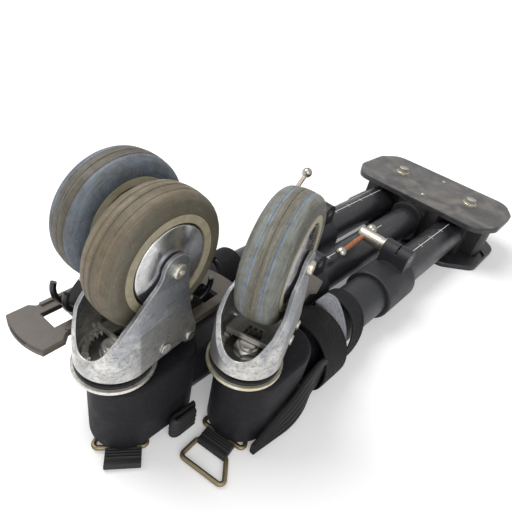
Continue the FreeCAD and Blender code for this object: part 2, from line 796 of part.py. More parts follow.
def wheel_core():
    rim, recess, hub = tyre_seat_radius, core_recess_radius, core_hub_radius
    floor = core_half_width - core_recess_depth
    bore = bearing_outer_radius
    points = [(rim, core_half_width), (recess, core_half_width), (recess, core_web_half),
              (hub, core_web_half), (hub, core_hub_half), (bore, core_hub_half),
              (bore, core_hub_half - bearing_width), (spacer_radius + running_gap, floor / 2),
              (spacer_radius + running_gap, -floor / 2), (bore, -core_hub_half + bearing_width),
              (bore, -core_hub_half), (hub, -core_hub_half), (hub, -core_web_half),
              (recess, -core_web_half), (recess, -core_half_width), (rim, -core_half_width)]
    core = revolved_y(points)
    bearings = []
    for y0 in (-core_hub_half, core_hub_half - bearing_width):
        ring = rod_y(bearing_outer_radius, y0, y0 + bearing_width)
        bearings.append(ring.cut(rod_y(spacer_radius + bearing_clearance, y0 - overrun,
                                       y0 + bearing_width + overrun)))
    return moved(Part.makeCompound([core] + bearings), wheel_trail, 0, axle_height)


def pedal():
    """Foot plate with its window and rim, hub on the pivot pin, and a horned lever."""
    z1 = pedal_pivot_height + pedal_drop + pedal_thickness
    z0 = z1 - pedal_thickness
    half, waist = pedal_width / 2, pedal_waist / 2
    start = pedal_pivot_back
    flare = pedal_flare_back - (half - waist)
    edge = pedal_edge_back
    outline = [Part.makeLine(vector(start, waist), vector(flare, waist)),
               Part.makeLine(vector(flare, waist), vector(pedal_flare_back, half)),
               Part.makeLine(vector(pedal_flare_back, half), vector(edge, half)),
               Part.Arc(vector(edge, half), vector(edge + pedal_edge_bulge, 0),
                        vector(edge, -half)).toShape(),
               Part.makeLine(vector(edge, -half), vector(pedal_flare_back, -half)),
               Part.makeLine(vector(pedal_flare_back, -half), vector(flare, -waist)),
               Part.makeLine(vector(flare, -waist), vector(start, -waist)),
               Part.makeLine(vector(start, -waist), vector(start, waist))]
    body = plate(Part.Wire(outline), z0, z1)
    body = body.makeChamfer(pedal_pad_bevel, [edge for edge in body.Edges if level_edge(z1)(edge)
                                              and edge.BoundBox.XMin > start])
    window = box(pedal_window_start, pedal_window_end, -pedal_window_width / 2,
                 pedal_window_width / 2, z0 - overrun, z1 + overrun)
    rims = []
    for y0 in (-waist, waist - pedal_rim_width):
        rims.append(box(start + pedal_hub_radius, flare, y0, y0 + pedal_rim_width,
                        z1 - pedal_rim_height, z1 + pedal_rim_height))
    hub = rod_y(pedal_hub_radius, -pedal_hub_width / 2, pedal_hub_width / 2,
                pedal_pivot_back, pedal_pivot_height)
    solid = fused([body.cut(window)] + rims + [hub, release_lever(z0, z1)])
    return solid.cut(rod_y(pedal_pin_radius + bearing_clearance, -crown_radius, crown_radius,
                           pedal_pivot_back, pedal_pivot_height))


def release_lever(z0, z1):
    """Wedge that stands on the pedal near its hub, with two claw horns bowed upwards."""
    side_view = [(lever_start, z0), (lever_start, z1 + lever_tail_height),
                 (lever_crest_back, z1 + lever_crest_height), (lever_end, z1 + lever_tail_height),
                 (lever_end, z0)]
    corners = [vector(x, -lever_width / 2, z) for x, z in side_view]
    wedge = Part.Face(Part.makePolygon(corners + corners[:1])).extrude(vector(0, lever_width, 0))
    horns = []
    for side in (-1, 1):
        foot = vector(lever_end - horn_foot_inset, side * horn_spread / 2, z1)
        tip = vector(horn_reach, side * horn_spread, z1 + horn_rise)
        middle = (foot + tip) * 0.5 + vector(horn_bow, 0, -horn_bow)
        bend = Part.Arc(foot, middle, tip)
        start_way = bend.tangent(bend.FirstParameter)[0]
        circle = Part.Wire(Part.makeCircle(horn_radius, foot, start_way))
        horns.append(Part.Wire(bend.toShape()).makePipeShell([circle], True, True))
    return fused([wedge] + horns)


def fork_pins():
    """Pedal pin and brake-plate rivet, headed outside the fork's side plates."""
    parts = []
    for radius, head, height, back, z in (
            (pedal_pin_radius, pedal_pin_head_radius, pedal_pin_head_height,
             pedal_pivot_back, pedal_pivot_height),
            (rivet_radius, rivet_head_radius, rivet_head_height, rivet_back, rivet_height())):
        half = wall_half(back - head)
        parts.append(rod_y(radius, -half, half, back, z))
        parts.append(rod_y(head, -half - height, -half, back, z))
        parts.append(rod_y(head, half, half + height, back, z))
    return fused(parts[:3]), fused(parts[3:])


def wall_half(back):
    """Outside half-width of the fork's low side wall, this far behind the swivel axis."""
    share = back / fork_back
    return crown_radius + (fork_low_back_width - crown_radius) * share


def wire_loop(front_length, back_length, depth, shift=0):
    """Bent wire, flat in z = 0: back bar on x = 0, front bar at x = -depth, moved by shift."""
    points = [(0, back_length / 2), (-depth, shift + front_length / 2),
              (-depth, shift - front_length / 2), (0, -back_length / 2)]
    path = rounded_wire(points, wire_corner_radius)
    edge = path.Edges[1]
    start = edge.valueAt(edge.FirstParameter)
    way = edge.tangentAt(edge.FirstParameter)
    section = Part.Wire(Part.makeCircle(wire_radius, start, way))
    return path.makePipeShell([section], True, True)


def anchor_ring():
    return moved(wire_loop(ring_front_length, ring_back_length, ring_depth), z=wire_height)


def rubber_link():
    """Ribbed link with a cradle under the ring's front bar and a round eye about the hook."""
    half = link_length / 2
    near = rod_y(link_radius, -half, half, 0, wire_height)
    far = rod_y(link_radius, -half, half, -link_pitch, wire_height)
    low, high = wire_height - link_radius, wire_height + link_radius
    web = box(-link_pitch, 0, -half, half, low, high - link_rib_height)
    ribs = []
    first = -link_pitch + link_radius
    step = (link_pitch - 2 * link_radius) / link_rib_count
    for i in range(link_rib_count):
        x = first + i * step
        ribs.append(box(x, x + step * link_rib_share, -half, half, wire_height, high + link_rib_height))
    mouth = box(-wire_radius - bearing_clearance, link_radius + overrun, -link_length, link_length,
                wire_height, high + overrun)
    return near.fuse([far, web] + ribs).cut(mouth).removeSplitter()


def eye_room(back):
    return rod_y(wire_radius + bearing_clearance, -link_length, link_length, back, wire_height)


def hook_link(has_hook):
    """Rubber link on the anchor ring, with the wire hook in its far eye where it has one."""
    link = rubber_link().cut(eye_room(0))
    if not has_hook:
        return moved(link, x=-ring_depth, y=middle_link_slide)
    link = link.cut(rod_y(wire_radius, -link_length, link_length, -link_pitch, wire_height))
    hook = wire_loop(hook_front_length, hook_back_length, hook_depth, hook_side_shift)
    hook = moved(hook, -link_pitch, 0, wire_height)
    return moved(Part.makeCompound([link, hook]), x=-ring_depth)


def foot_ring(shape, leg):
    place = moved(turned(shape, leg["ring_turn"]), ring_post_back, casting_side_shift)
    return moved(place, -leg["caster"], leg["y"])


def strap_section(x, y, z, lean, width):
    """Rectangle across the strap: thickness along the lean direction, width square to it."""
    side = vector(0, math.cos(lean), math.sin(lean)) * (strap_thickness / 2)
    along = vector(0, -math.sin(lean), math.cos(lean))
    return vector(x, y, z), side, along * (width / 2)


def strap_loft(sections):
    wires = []
    for center, side, along in sections:
        corners = [center - side - along, center + side - along, center + side + along,
                   center - side + along]
        wires.append(Part.makePolygon(corners + corners[:1]))
    return Part.makeLoft(wires, True, True)


def strap_front(length):
    """First sections of a strap: from its thin end along the right side of the casting."""
    side_y = casting_side_shift - casting_radius - strap_side_gap - strap_thickness / 2
    low = strap_floor_gap
    return [strap_section(-strap_end_forward, side_y, low + strap_end_width / 2, 0, strap_end_width),
            strap_section(ring_post_back, side_y - strap_side_gap, low + strap_width / 2, 0, strap_width),
            strap_section(length, side_y - strap_side_gap, low + strap_width / 2, 0, strap_width)]


def long_strap():
    """Strap that leaves the casting's side, climbs and crosses over the top of the tube."""
    sections = strap_front(casting_tail_back)
    reach = tube_radius + strap_tube_gap + strap_thickness / 2
    turn_z = axis_height - strap_turn_drop
    sections.append(strap_section(strap_turn_back, -reach - 2 * strap_side_gap, turn_z, 0, strap_width))
    half = strap_width / 2
    stations = ((strap_climb_back, 0), (strap_shoulder_back, strap_shoulder_lean),
                (strap_top_back, strap_top_lean))
    for (back, lean), share in zip(stations, strap_turn_shares):
        angle = math.radians(lean)
        place = vector(back, -reach * math.cos(angle), axis_height - reach * math.sin(angle))
        side = vector(0, math.cos(angle), math.sin(angle)) * (strap_thickness / 2)
        up = vector(0, -math.sin(angle), math.cos(angle)) * (1 - share)
        along = (up + vector(-1, 0, 0) * share).normalize() * half
        sections.append((place, side, along))
    place, side, along = sections[-1]
    sections.append((place + vector(strap_thickness / 2, strap_tail, 0), side, along))
    return strap_loft(sections)


def short_strap():
    """Folded end of a strap, standing on edge beside the middle casting."""
    side_y = casting_side_shift - casting_radius - strap_side_gap - strap_thickness / 2
    middle_z = middle_strap_lift + strap_width / 2
    start = middle_strap_back
    end = start + middle_strap_length
    fold = strap_section(start + strap_thickness / 2, side_y - strap_thickness, middle_z, 0, strap_width)
    return strap_loft([strap_section(start, side_y, middle_z, 0, strap_end_width), fold,
                       strap_section(end, side_y - strap_thickness, middle_z, 0, strap_width)])


def webbing_band(bulge, rise, start, width):
    """One turn of webbing on the tube, standing off on its right side and on top."""
    inner = tube_radius + webbing_tube_gap
    outer = inner + webbing_thickness
    right = -outer - bulge
    top = outer + rise
    low = -outer - webbing_sag
    points = [(outer, -outer / 2), (outer, outer / 2), (outer / 2, top - rise / 3), (-outer / 2, top),
              (right, outer / 2), (right, -outer), (-outer / 2, low), (outer / 2, low)]
    wire = rounded_wire(points, webbing_corner_radius)
    inside = wire.makeOffset2D(-webbing_thickness)
    ring = Part.Face(wire).cut(Part.Face(inside)).extrude(vector(0, 0, width))
    ring = turned(turned(ring, 90, (0, 0, 1)), 90, (0, 1, 0))
    return moved(ring, start, 0, axis_height)


def webbing(bulge, rise, start, first_width, step, second_width, second_rise):
    bands = [webbing_band(bulge, rise, start, first_width),
             webbing_band(bulge / 2, second_rise, start + step, second_width)]
    return Part.makeCompound(bands)


def in_leg(shape, leg):
    return moved(shape, y=leg["y"])


def in_caster(shape, leg):
    return moved(turned(shape, leg["trail"]), -leg["caster"], leg["y"])


os.makedirs("parts", exist_ok=True)
nodes = {}
nodes["hub_top_plate"] = hub_top_plate()
nodes["hub_bottom_plate"] = hub_bottom_plate()
nodes["hub_fasteners"] = hub_fasteners()
nodes["middle_lug"] = middle_lug()
nodes["left_lug"] = in_leg(side_lug(1), legs["left"])
nodes["right_lug"] = in_leg(side_lug(-1), legs["right"])
for name, leg in legs.items():
    start = middle_neck_reach if name == "middle" else lug_neck_reach
    nodes[name + "_inner_tube"] = in_leg(inner_tube(start, leg["clamp"]), leg)
    nodes[name + "_outer_tube"] = in_leg(outer_tube(leg["clamp"], leg["caster"]), leg)
    nodes[name + "_clamp_collar"] = in_leg(clamp_collar(leg["clamp"]), leg)
    screw, cross = clamp_screw(leg["clamp"])
    pivot = (-leg["clamp"], 0, ear_top)
    cross = turned(cross, leg["bar_tilt"] * -1, (0, 1, 0), pivot)
    bar = turned(tommy_bar(leg["clamp"], leg["bar_shift"]), leg["bar_tilt"] * -1, (0, 1, 0), pivot)
    nodes[name + "_clamp_screw"] = in_leg(screw.cut(cross), leg)
    nodes[name + "_tommy_bar"] = in_leg(bar, leg)
    nodes[name + "_foot_casting"] = in_leg(foot_casting(leg), leg)
    nodes[name + "_swivel_bearing"] = in_caster(swivel_bearing(), leg)
    nodes[name + "_kingpin_set"] = in_caster(kingpin_set(), leg)
    nodes[name + "_fork"] = in_caster(fork(), leg)
    pedal_pin, rivet = fork_pins()
    nodes[name + "_axle_set"] = in_caster(Part.makeCompound([axle_set(), pedal_pin]), leg)
    nodes[name + "_brake_plate"] = in_caster(Part.makeCompound([brake_plate(), rivet]), leg)
    nodes[name + "_tyre"] = in_caster(tyre(), leg)
    nodes[name + "_wheel_core"] = in_caster(wheel_core(), leg)
    nodes[name + "_pedal"] = in_caster(pedal(), leg)
    nodes[name + "_anchor_ring"] = foot_ring(anchor_ring(), leg)
    nodes[name + "_hook_link"] = foot_ring(hook_link(name != "middle"), leg)
nodes["right_strap"] = moved(long_strap(), -side_caster_reach, -side_pivot_y)
nodes["middle_strap"] = moved(short_strap(), -middle_caster_reach)
nodes["right_webbing"] = moved(webbing(right_webbing_bulge, right_webbing_rise, right_webbing_start,
                                       right_webbing_width, right_webbing_step,
                                       right_webbing_second_width, right_second_rise),
                               -side_caster_reach, -side_pivot_y)
nodes["left_webbing"] = moved(webbing(left_webbing_bulge, left_webbing_rise, left_webbing_start,
                                      left_webbing_width, left_webbing_step,
                                      left_webbing_second_width, left_second_rise),
                              -side_caster_reach, side_pivot_y)
for name, shape in nodes.items():
    shape.exportStep("parts/" + name + ".step")
    solids = shape.Solids
    print(name, len(solids), round(sum(solid.Volume for solid in solids)), shape.isValid())
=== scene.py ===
import bpy
import bmesh
import json
import math
from mathutils import Matrix, Vector


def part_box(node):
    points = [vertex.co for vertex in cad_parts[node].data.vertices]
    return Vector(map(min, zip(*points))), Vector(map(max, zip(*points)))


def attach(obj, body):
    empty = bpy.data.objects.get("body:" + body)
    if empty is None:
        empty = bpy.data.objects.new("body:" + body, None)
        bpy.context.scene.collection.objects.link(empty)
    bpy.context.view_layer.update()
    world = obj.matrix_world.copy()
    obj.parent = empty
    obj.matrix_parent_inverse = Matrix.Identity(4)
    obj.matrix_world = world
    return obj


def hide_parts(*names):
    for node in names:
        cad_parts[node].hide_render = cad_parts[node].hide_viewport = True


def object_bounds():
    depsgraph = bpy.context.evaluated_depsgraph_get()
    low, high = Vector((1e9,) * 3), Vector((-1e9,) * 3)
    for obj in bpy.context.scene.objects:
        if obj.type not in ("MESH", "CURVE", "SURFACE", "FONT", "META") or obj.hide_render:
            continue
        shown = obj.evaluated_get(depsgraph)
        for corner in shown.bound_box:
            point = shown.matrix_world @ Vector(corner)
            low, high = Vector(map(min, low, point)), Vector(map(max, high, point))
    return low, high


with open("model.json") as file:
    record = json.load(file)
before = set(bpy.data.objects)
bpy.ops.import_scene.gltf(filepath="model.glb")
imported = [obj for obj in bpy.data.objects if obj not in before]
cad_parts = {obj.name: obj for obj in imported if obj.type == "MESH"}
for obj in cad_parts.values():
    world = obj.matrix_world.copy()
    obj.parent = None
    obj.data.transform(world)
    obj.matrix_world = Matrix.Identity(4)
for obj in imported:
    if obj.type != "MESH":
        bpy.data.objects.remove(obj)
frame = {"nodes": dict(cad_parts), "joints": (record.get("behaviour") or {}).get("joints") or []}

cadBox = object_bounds()
mm = 0.001
sides = ("left", "middle", "right")
jointOf = {joint["name"]: joint for joint in frame["joints"]}
upright = Vector((0, 0, 1))


# Colours are written as screen values from 0 to 255 and turned into linear ones here
def shade(red, green, blue):
    def linear(value):
        value = value / 255
        return value / 12.92 if value <= 0.04045 else ((value + 0.055) / 1.055) ** 2.4
    return (linear(red), linear(green), linear(blue), 1.0)


def toned(tone, factor):
    return tuple(factor * part for part in tone[:3]) + (1,)


# Node helpers: each one adds nodes to the material and hands back the socket to use next.
# Origins are in metres, as the frame is, and every other length is in millimetres
def addNode(mat, kind, **settings):
    node = mat.node_tree.nodes.new(kind)
    for key, value in settings.items():
        setattr(node, key, value)
    return node


def plug(mat, socket, value):
    if isinstance(value, bpy.types.NodeSocket):
        mat.node_tree.links.new(value, socket)
    else:
        socket.default_value = value


def objectPlace(mat):
    return addNode(mat, "ShaderNodeTexCoord").outputs["Object"]


def startMaterial(name):
    mat = bpy.data.materials.new(name)
    mat.use_nodes = True
    return mat, objectPlace(mat)


def stretched(mat, place, scale):
    node = addNode(mat, "ShaderNodeMapping")
    plug(mat, node.inputs["Vector"], place)
    node.inputs["Scale"].default_value = scale
    return node.outputs["Vector"]


def noise(mat, place, size, detail, rough, warp=0.0):
    # Grain with features of about the given size
    node = addNode(mat, "ShaderNodeTexNoise")
    plug(mat, node.inputs["Vector"], place)
    settings = {"Scale": 1 / (size * mm), "Detail": detail, "Roughness": rough, "Distortion": warp}
    for key, value in settings.items():
        node.inputs[key].default_value = value
    return node.outputs["Fac"]


def ramp(mat, value, stops):
    node = addNode(mat, "ShaderNodeValToRGB")
    plug(mat, node.inputs["Fac"], value)
    band = node.color_ramp
    while len(band.elements) < len(stops):
        band.elements.new(0.5)
    for element, (at, colour) in zip(band.elements, stops):
        element.position = at
        element.color = colour
    return node.outputs["Color"]


def span(mat, value, low, high, start=0.0, end=1.0):
    # From start to end as value runs from low to high
    node = addNode(mat, "ShaderNodeMapRange")
    plug(mat, node.inputs["Value"], value)
    for key, limit in (("From Min", low), ("From Max", high), ("To Min", start), ("To Max", end)):
        node.inputs[key].default_value = limit
    return node.outputs["Result"]


def blendColour(mat, share, first, second):
    node = addNode(mat, "ShaderNodeMix", data_type="RGBA")
    for index, value in ((0, share), (6, first), (7, second)):
        plug(mat, node.inputs[index], value)
    return node.outputs[2]


def calc(mat, operation, first, second=0.0):
    node = addNode(mat, "ShaderNodeMath", operation=operation)
    plug(mat, node.inputs[0], first)
    plug(mat, node.inputs[1], second)
    return node.outputs[0]


def times(mat, first, second):
    return calc(mat, "MULTIPLY", first, second)


def covered(mat, colour, *layers):
    # Tones laid over colour. A layer is a value, the span of it that covers, the tone, and a mask to hold it
    for value, reach, tone, *masks in layers:
        cover = span(mat, value, *reach)
        for mask in masks:
            cover = times(mat, cover, mask)
        colour = blendColour(mat, cover, colour, tone)
    return colour


def zone(mat, look, **lengths):
    # Mask of the place where each length is within the span that look gives under its name
    mask = 1.0
    for key, length in lengths.items():
        mask = times(mat, mask, span(mat, length, *look[key]))
    return mask


def dotProduct(mat, first, second):
    node = addNode(mat, "ShaderNodeVectorMath", operation="DOT_PRODUCT")
    plug(mat, node.inputs[0], first)
    plug(mat, node.inputs[1], second)
    return node.outputs["Value"]


def along(mat, place, origin, way):
    # Distance from origin along way
    away = addNode(mat, "ShaderNodeVectorMath", operation="SUBTRACT")
    plug(mat, away.inputs[0], place)
    away.inputs[1].default_value = origin
    return dotProduct(mat, away.outputs[0], Vector(way) / mm)


def distance(mat, first, second):
    squares = calc(mat, "ADD", calc(mat, "POWER", first, 2), calc(mat, "POWER", second, 2))
    return calc(mat, "SQRT", squares)


def fromAxis(mat, place, origin):
    # Distance from the upright axis through origin
    return distance(mat, along(mat, place, origin, (1, 0, 0)), along(mat, place, origin, (0, 1, 0)))


def softEdge(mat, radius):
    # Normal rounded over the edges, and a mask that is 1 on them
    rounded = addNode(mat, "ShaderNodeBevel", samples=4)
    rounded.inputs["Radius"].default_value = radius * mm
    flat = addNode(mat, "ShaderNodeNewGeometry")
    cosine = dotProduct(mat, rounded.outputs[0], flat.outputs["Normal"])
    return rounded.outputs[0], span(mat, cosine, 0.995, 0.8)


def bump(mat, height, depth, normal=None):
    node = addNode(mat, "ShaderNodeBump")
    node.inputs["Strength"].default_value = 1.0
    node.inputs["Distance"].default_value = depth * mm
    plug(mat, node.inputs["Height"], height)
    if normal is not None:
        plug(mat, node.inputs["Normal"], normal)
    return node.outputs[0]


def shaderInput(mat, key):
    return mat.node_tree.nodes["Principled BSDF"].inputs[key.replace("_", " ")]


def baseOf(mat):
    # The colour that reaches the shader so far, to be covered further
    return shaderInput(mat, "Base Color").links[0].from_socket


def coat(mat, colour, **settings):
    # Gives the shader its colour and its other inputs, each a number or a socket
    plug(mat, shaderInput(mat, "Base Color"), colour)
    for key, value in settings.items():
        plug(mat, shaderInput(mat, key), value)
    return mat


# Painted and plated finishes
def blackPaint(name, tone, worn, wear, grain, rough, stretch=(1, 1, 1), gloss=0.5):
    # Dark powder coat: cloudy tone, fine orange peel, dust, long scuffs and rubbed edges
    mat, place = startMaterial(name)
    rounded, edge = softEdge(mat, 0.8)
    cloud = noise(mat, place, 22, 5, 0.6, 0.4)
    scuff = noise(mat, stretched(mat, place, stretch), 3.2, 8, 0.72, 0.8)
    speck = noise(mat, place, 0.7, 3, 0.7)
    colour = covered(mat, tone, (cloud, (0.3, 0.75), toned(tone, 1.45)), (scuff, (0.56, 0.72, 0, wear), worn),
                     (scuff, (0.42, 0.6, 0, 0.8), worn, edge), (speck, (0.7, 0.8, 0, 0.35), worn))
    normal = bump(mat, noise(mat, place, grain, 3, 0.5), 0.05, rounded)
    roughness = span(mat, cloud, 0.3, 0.7, rough - 0.07, rough + 0.13)
    return coat(mat, colour, Roughness=roughness, Normal=normal, Specular_IOR_Level=gloss)


plateLook = {"rimDepth": (-0.15, -1.3, 0, 0.85), "rim": shade(34, 33, 35), "soil": shade(62, 60, 60),
             "edge": shade(128, 118, 104), "ringRadius": (12.4, 10.6), "ring": shade(150, 142, 122),
             "patches": [(0.36, shade(56, 55, 58)), (0.47, shade(82, 80, 79)),
                         (0.57, shade(103, 99, 95)), (0.68, shade(124, 117, 109))]}


def plateFinish(name):
    # Hub plate: black paint rubbed through to brown-grey patches, with a pale ring at each bolt
    look = plateLook
    mat, place = startMaterial(name)
    rounded, edge = softEdge(mat, 1.2)
    patch = noise(mat, place, 34, 6, 0.58, 0.5)
    fine = noise(mat, place, 7, 7, 0.62, 0.3)
    tall = along(mat, place, (0, 0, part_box("hub_top_plate")[1].z), upright)
    colour = covered(mat, ramp(mat, patch, look["patches"]), (fine, (0.52, 0.74, 0, 0.4), look["soil"]),
                     (tall, look["rimDepth"], look["rim"]), (fine, (0.5, 0.66, 0, 0.4), look["edge"], edge))
    boltReach = abs(jointOf["left_leg_swing"]["pos_m"][1])
    for y in (-boltReach, boltReach):
        ring = zone(mat, look, ringRadius=fromAxis(mat, place, (0, y, 0)))
        colour = covered(mat, colour, (fine, (0.35, 0.55, 0, 0.8), look["ring"], ring))
    roughness = span(mat, patch, 0.3, 0.7, 0.36, 0.56)
    return coat(mat, colour, Roughness=roughness, Normal=bump(mat, fine, 0.07, rounded))


# Heights in millimetres of the painted highlight low down and of the painted shade on each arm; edge is the
# painted highlight along the rims
zincLook = {"lowHeight": (110, 88, 0, 0.45), "armHeight": (108, 132), "metal": 0.9,
            "edge": shade(214, 212, 203), "yellow": shade(196, 178, 88)}


def zincPlate(name, bright, dull, stain, yellow=0.0, armShadeTone=(0.24, 0.25, 0.28, 1)):
    # Worn zinc on pressed steel: blue-grey bloom, dark stains, small dents, with painted light: a painted
    # highlight low down and along the rims, painted shade higher up on each arm
    look = zincLook
    mat, place = startMaterial(name)
    rounded, edge = softEdge(mat, 0.9)
    bloom = noise(mat, place, 16, 6, 0.66, 0.8)
    fine = noise(mat, place, 2.6, 8, 0.74, 0.4)
    streak = noise(mat, stretched(mat, place, (0.3, 0.3, 2.2)), 4, 7, 0.7, 0.5)
    tall = along(mat, place, (0, 0, 0), upright)
    # Painted shade on each arm from 108 to 132 mm up; below 88 mm the bright tone returns as a painted
    # highlight, and the rims are painted bright as a painted highlight
    armShade = zone(mat, look, armHeight=tall)
    colour = covered(mat, bright, (bloom, (0.36, 0.66), dull), (fine, (0.5, 0.68, 0, 0.85), stain),
                     (tall, look["lowHeight"], bright), (bloom, (0.3, 0.5, 0.45, 0.85), armShadeTone, armShade),
                     (streak, (0.56, 0.7, 0, 0.6), stain), (edge, (0, 1, 0, 0.8), look["edge"]))
    if yellow:
        colour = covered(mat, colour, (bloom, (0.4, 0.6, 0, yellow), look["yellow"]))
    normal = bump(mat, noise(mat, place, 1.5, 2, 0.4), 0.16, rounded)
    roughness = calc(mat, "ADD", span(mat, fine, 0.35, 0.7, 0.24, 0.5), span(mat, bloom, 0.4, 0.7, 0, 0.12))
    return coat(mat, colour, Roughness=roughness, Metallic=look["metal"], Normal=normal)


steelLook = {"metal": 0.95, "tarnish": shade(150, 140, 118), "grazing": (0.4, 0.39, 0.37, 1)}


def brightSteel(name, tone, rough=0.24, pits=0.5, relief=0.06):
    # Bare steel with fine pits and a brownish tarnish, darker where it is seen at a grazing angle
    mat, place = startMaterial(name)
    fine = noise(mat, place, 1.1, 6, 0.7, 0.3)
    cloud = noise(mat, place, 7, 5, 0.6, 0.5)
    colour = covered(mat, tone, (fine, (0.56, 0.7, 0, pits), toned(tone, 0.35)),
                     (cloud, (0.45, 0.75, 0, 0.45), steelLook["tarnish"]))
    roughness = span(mat, cloud, 0.35, 0.7, rough, rough + 0.2)
    return coat(mat, colour, Roughness=roughness, Metallic=steelLook["metal"],
                Normal=bump(mat, fine, relief, softEdge(mat, 0.4)[0]), Specular_Tint=steelLook["grazing"])


raceSealAndGrooveShade = {"seal": (6.4, 6.6), "groove": (3.0, 2.2), "dark": shade(24, 23, 24)}


def raceZinc(name, yellow):
    # Swivel race: bright flange and dark rubber seal on top; the groove under the flange is painted dark and
    # matt, a painted shade
    mat = zincPlate(name, shade(232, 229, 222), shade(204, 201, 194), shade(110, 104, 92), yellow)
    tall = along(mat, objectPlace(mat), (0, 0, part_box("left_swivel_bearing")[0].z), upright)
    # The seal's dark is the rubber's own colour; the groove's dark is painted shade in the gap under the
    # flange
    dark = calc(mat, "MAXIMUM", zone(mat, raceSealAndGrooveShade, seal=tall), zone(mat, raceSealAndGrooveShade, groove=tall))
    return coat(mat, blendColour(mat, dark, baseOf(mat), raceSealAndGrooveShade["dark"]),
                Metallic=span(mat, dark, 0, 1, zincLook["metal"], 0))


lockLook = {"nutRadius": (9.6, 10.6), "teethRadius": (17.4, 16.6, 0, 0.8), "dark": shade(46, 47, 50)}


def lockSteel(name, side):
    # Kingpin set: the disc between the nut and the teeth is dark, the teeth and the nut are bright
    mat = brightSteel(name, shade(222, 220, 214), 0.3, 0.25, 0.02)
    away = fromAxis(mat, objectPlace(mat), jointOf[side + "_caster_swivel"]["pos_m"])
    disc = zone(mat, lockLook, nutRadius=away, teethRadius=away)
    return coat(mat, blendColour(mat, disc, baseOf(mat), lockLook["dark"]))


barLook = {"rodEnd": (26.4, 24.6), "metal": (0.95, 0.25), "rough": (0.28, 0.6),
           "rust": [(0.34, shade(118, 62, 30)), (0.5, shade(158, 100, 62)), (0.66, shade(188, 142, 108))]}


def barSteel(name, side, rust):
    # Tommy bar: satin balls on a rod that has rusted
    mat = brightSteel(name, shade(170, 167, 160), 0.18, 0.3)
    low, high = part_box(side + "_tommy_bar")
    place = objectPlace(mat)
    reach = calc(mat, "ABSOLUTE", along(mat, place, (low + high) / 2, jointOf[side + "_bar_slide"]["axis"]))
    blotch = noise(mat, place, 2.2, 6, 0.7, 0.6)
    share = times(mat, zone(mat, barLook, rodEnd=reach), span(mat, blotch, 0.2, 0.45, 0, rust))
    colour = blendColour(mat, share, baseOf(mat), ramp(mat, blotch, barLook["rust"]))
    return coat(mat, colour, Metallic=span(mat, share, 0, 1, *barLook["metal"]),
                Roughness=span(mat, share, 0, 1, *barLook["rough"]))


paints = {
    "tube": blackPaint("tubePaint", shade(28, 28, 32), shade(98, 94, 90), 0.4, 1.4, 0.34, (0.15, 1, 1)),
    "sleeve": blackPaint("sleevePaint", shade(27, 28, 32), shade(84, 82, 80), 0.3, 1.2, 0.42, (0.2, 1, 1)),
    "casting": blackPaint("castingPaint", shade(20, 20, 24), shade(92, 82, 76), 0.3, 0.8, 0.55, gloss=0.16),
    "collar": blackPaint("collarPlastic", shade(31, 31, 35), shade(78, 76, 76), 0.25, 0.7, 0.5, gloss=0.4),
    "base": blackPaint("basePlatePaint", shade(34, 33, 36), shade(88, 84, 82), 0.45, 1.0, 0.4),
    "lug": blackPaint("lugPaint", shade(20, 20, 22), shade(80, 75, 70), 0.5, 1.0, 0.46),
    "plate": plateFinish("hubPlatePaint"),
    "fork": zincPlate("forkZinc", shade(214, 212, 207), shade(152, 154, 158), shade(66, 67, 72),
                      armShadeTone=shade(138, 141, 147)),
    "steel": brightSteel("boltSteel", shade(205, 201, 190)),
    "barrel": brightSteel("barrelSteel", shade(196, 190, 178), 0.3, 0.8, 0.16),
    "chrome": brightSteel("guardChrome", shade(206, 206, 208), 0.1, 0.4, 0.012),
    "brake": brightSteel("brakeSteel", shade(214, 213, 208), 0.34, 0.25, 0.02),
}
for side in sides:
    paints[side + "Race"] = raceZinc(side + "RaceZinc", 0.5 if side == "right" else 0.0)
    paints[side + "Lock"] = lockSteel(side + "LockSteel", side)
    paints[side + "Bar"] = barSteel(side + "BarSteel", side, 1.0 if side == "right" else 0.25)
print("finishes ready", len(paints))


# Rubber, plastic and cloth finishes. A tread's bands run from one shoulder to the other:
# each is a share of the width, a tone of the wheel and its factor
tyreLook = {"tread": (-15.8, 15.8), "wallRadius": (45, 48.4), "ringScale": (9, 0.5, 0.5), "waver": 5}
wheelLooks = {
    "left": {"wall": shade(84, 93, 104), "side": shade(92, 99, 109), "dirt": shade(84, 77, 62),
             "bands": [(0.0, "side", 1), (0.22, "side", 1), (0.29, "side", 1.3), (0.33, "dirt", 1),
                       (0.68, "dirt", 1), (0.72, "side", 1.2), (0.8, "side", 1)]},
    "middle": {"wall": shade(84, 80, 67), "side": shade(92, 86, 72), "dirt": shade(102, 91, 73),
               "bands": [(0.0, "side", 1), (0.24, "dirt", 1), (0.31, "dirt", 1.45), (0.37, "dirt", 1),
                         (0.52, "dirt", 0.72), (0.60, "dirt", 1.45), (0.66, "dirt", 1),
                         (0.78, "dirt", 1.45), (0.84, "side", 1)]},
    "right": {"wall": shade(72, 69, 62), "side": shade(116, 120, 115), "dirt": shade(108, 103, 89),
              "line": shade(118, 132, 148),
              "bands": [(0.0, "side", 1), (0.26, "side", 1), (0.285, "line", 1), (0.32, "line", 1),
                        (0.35, "dirt", 1), (0.5, "dirt", 0.8), (0.63, "dirt", 1), (0.66, "line", 1),
                        (0.70, "line", 1), (0.73, "side", 1)]},
}


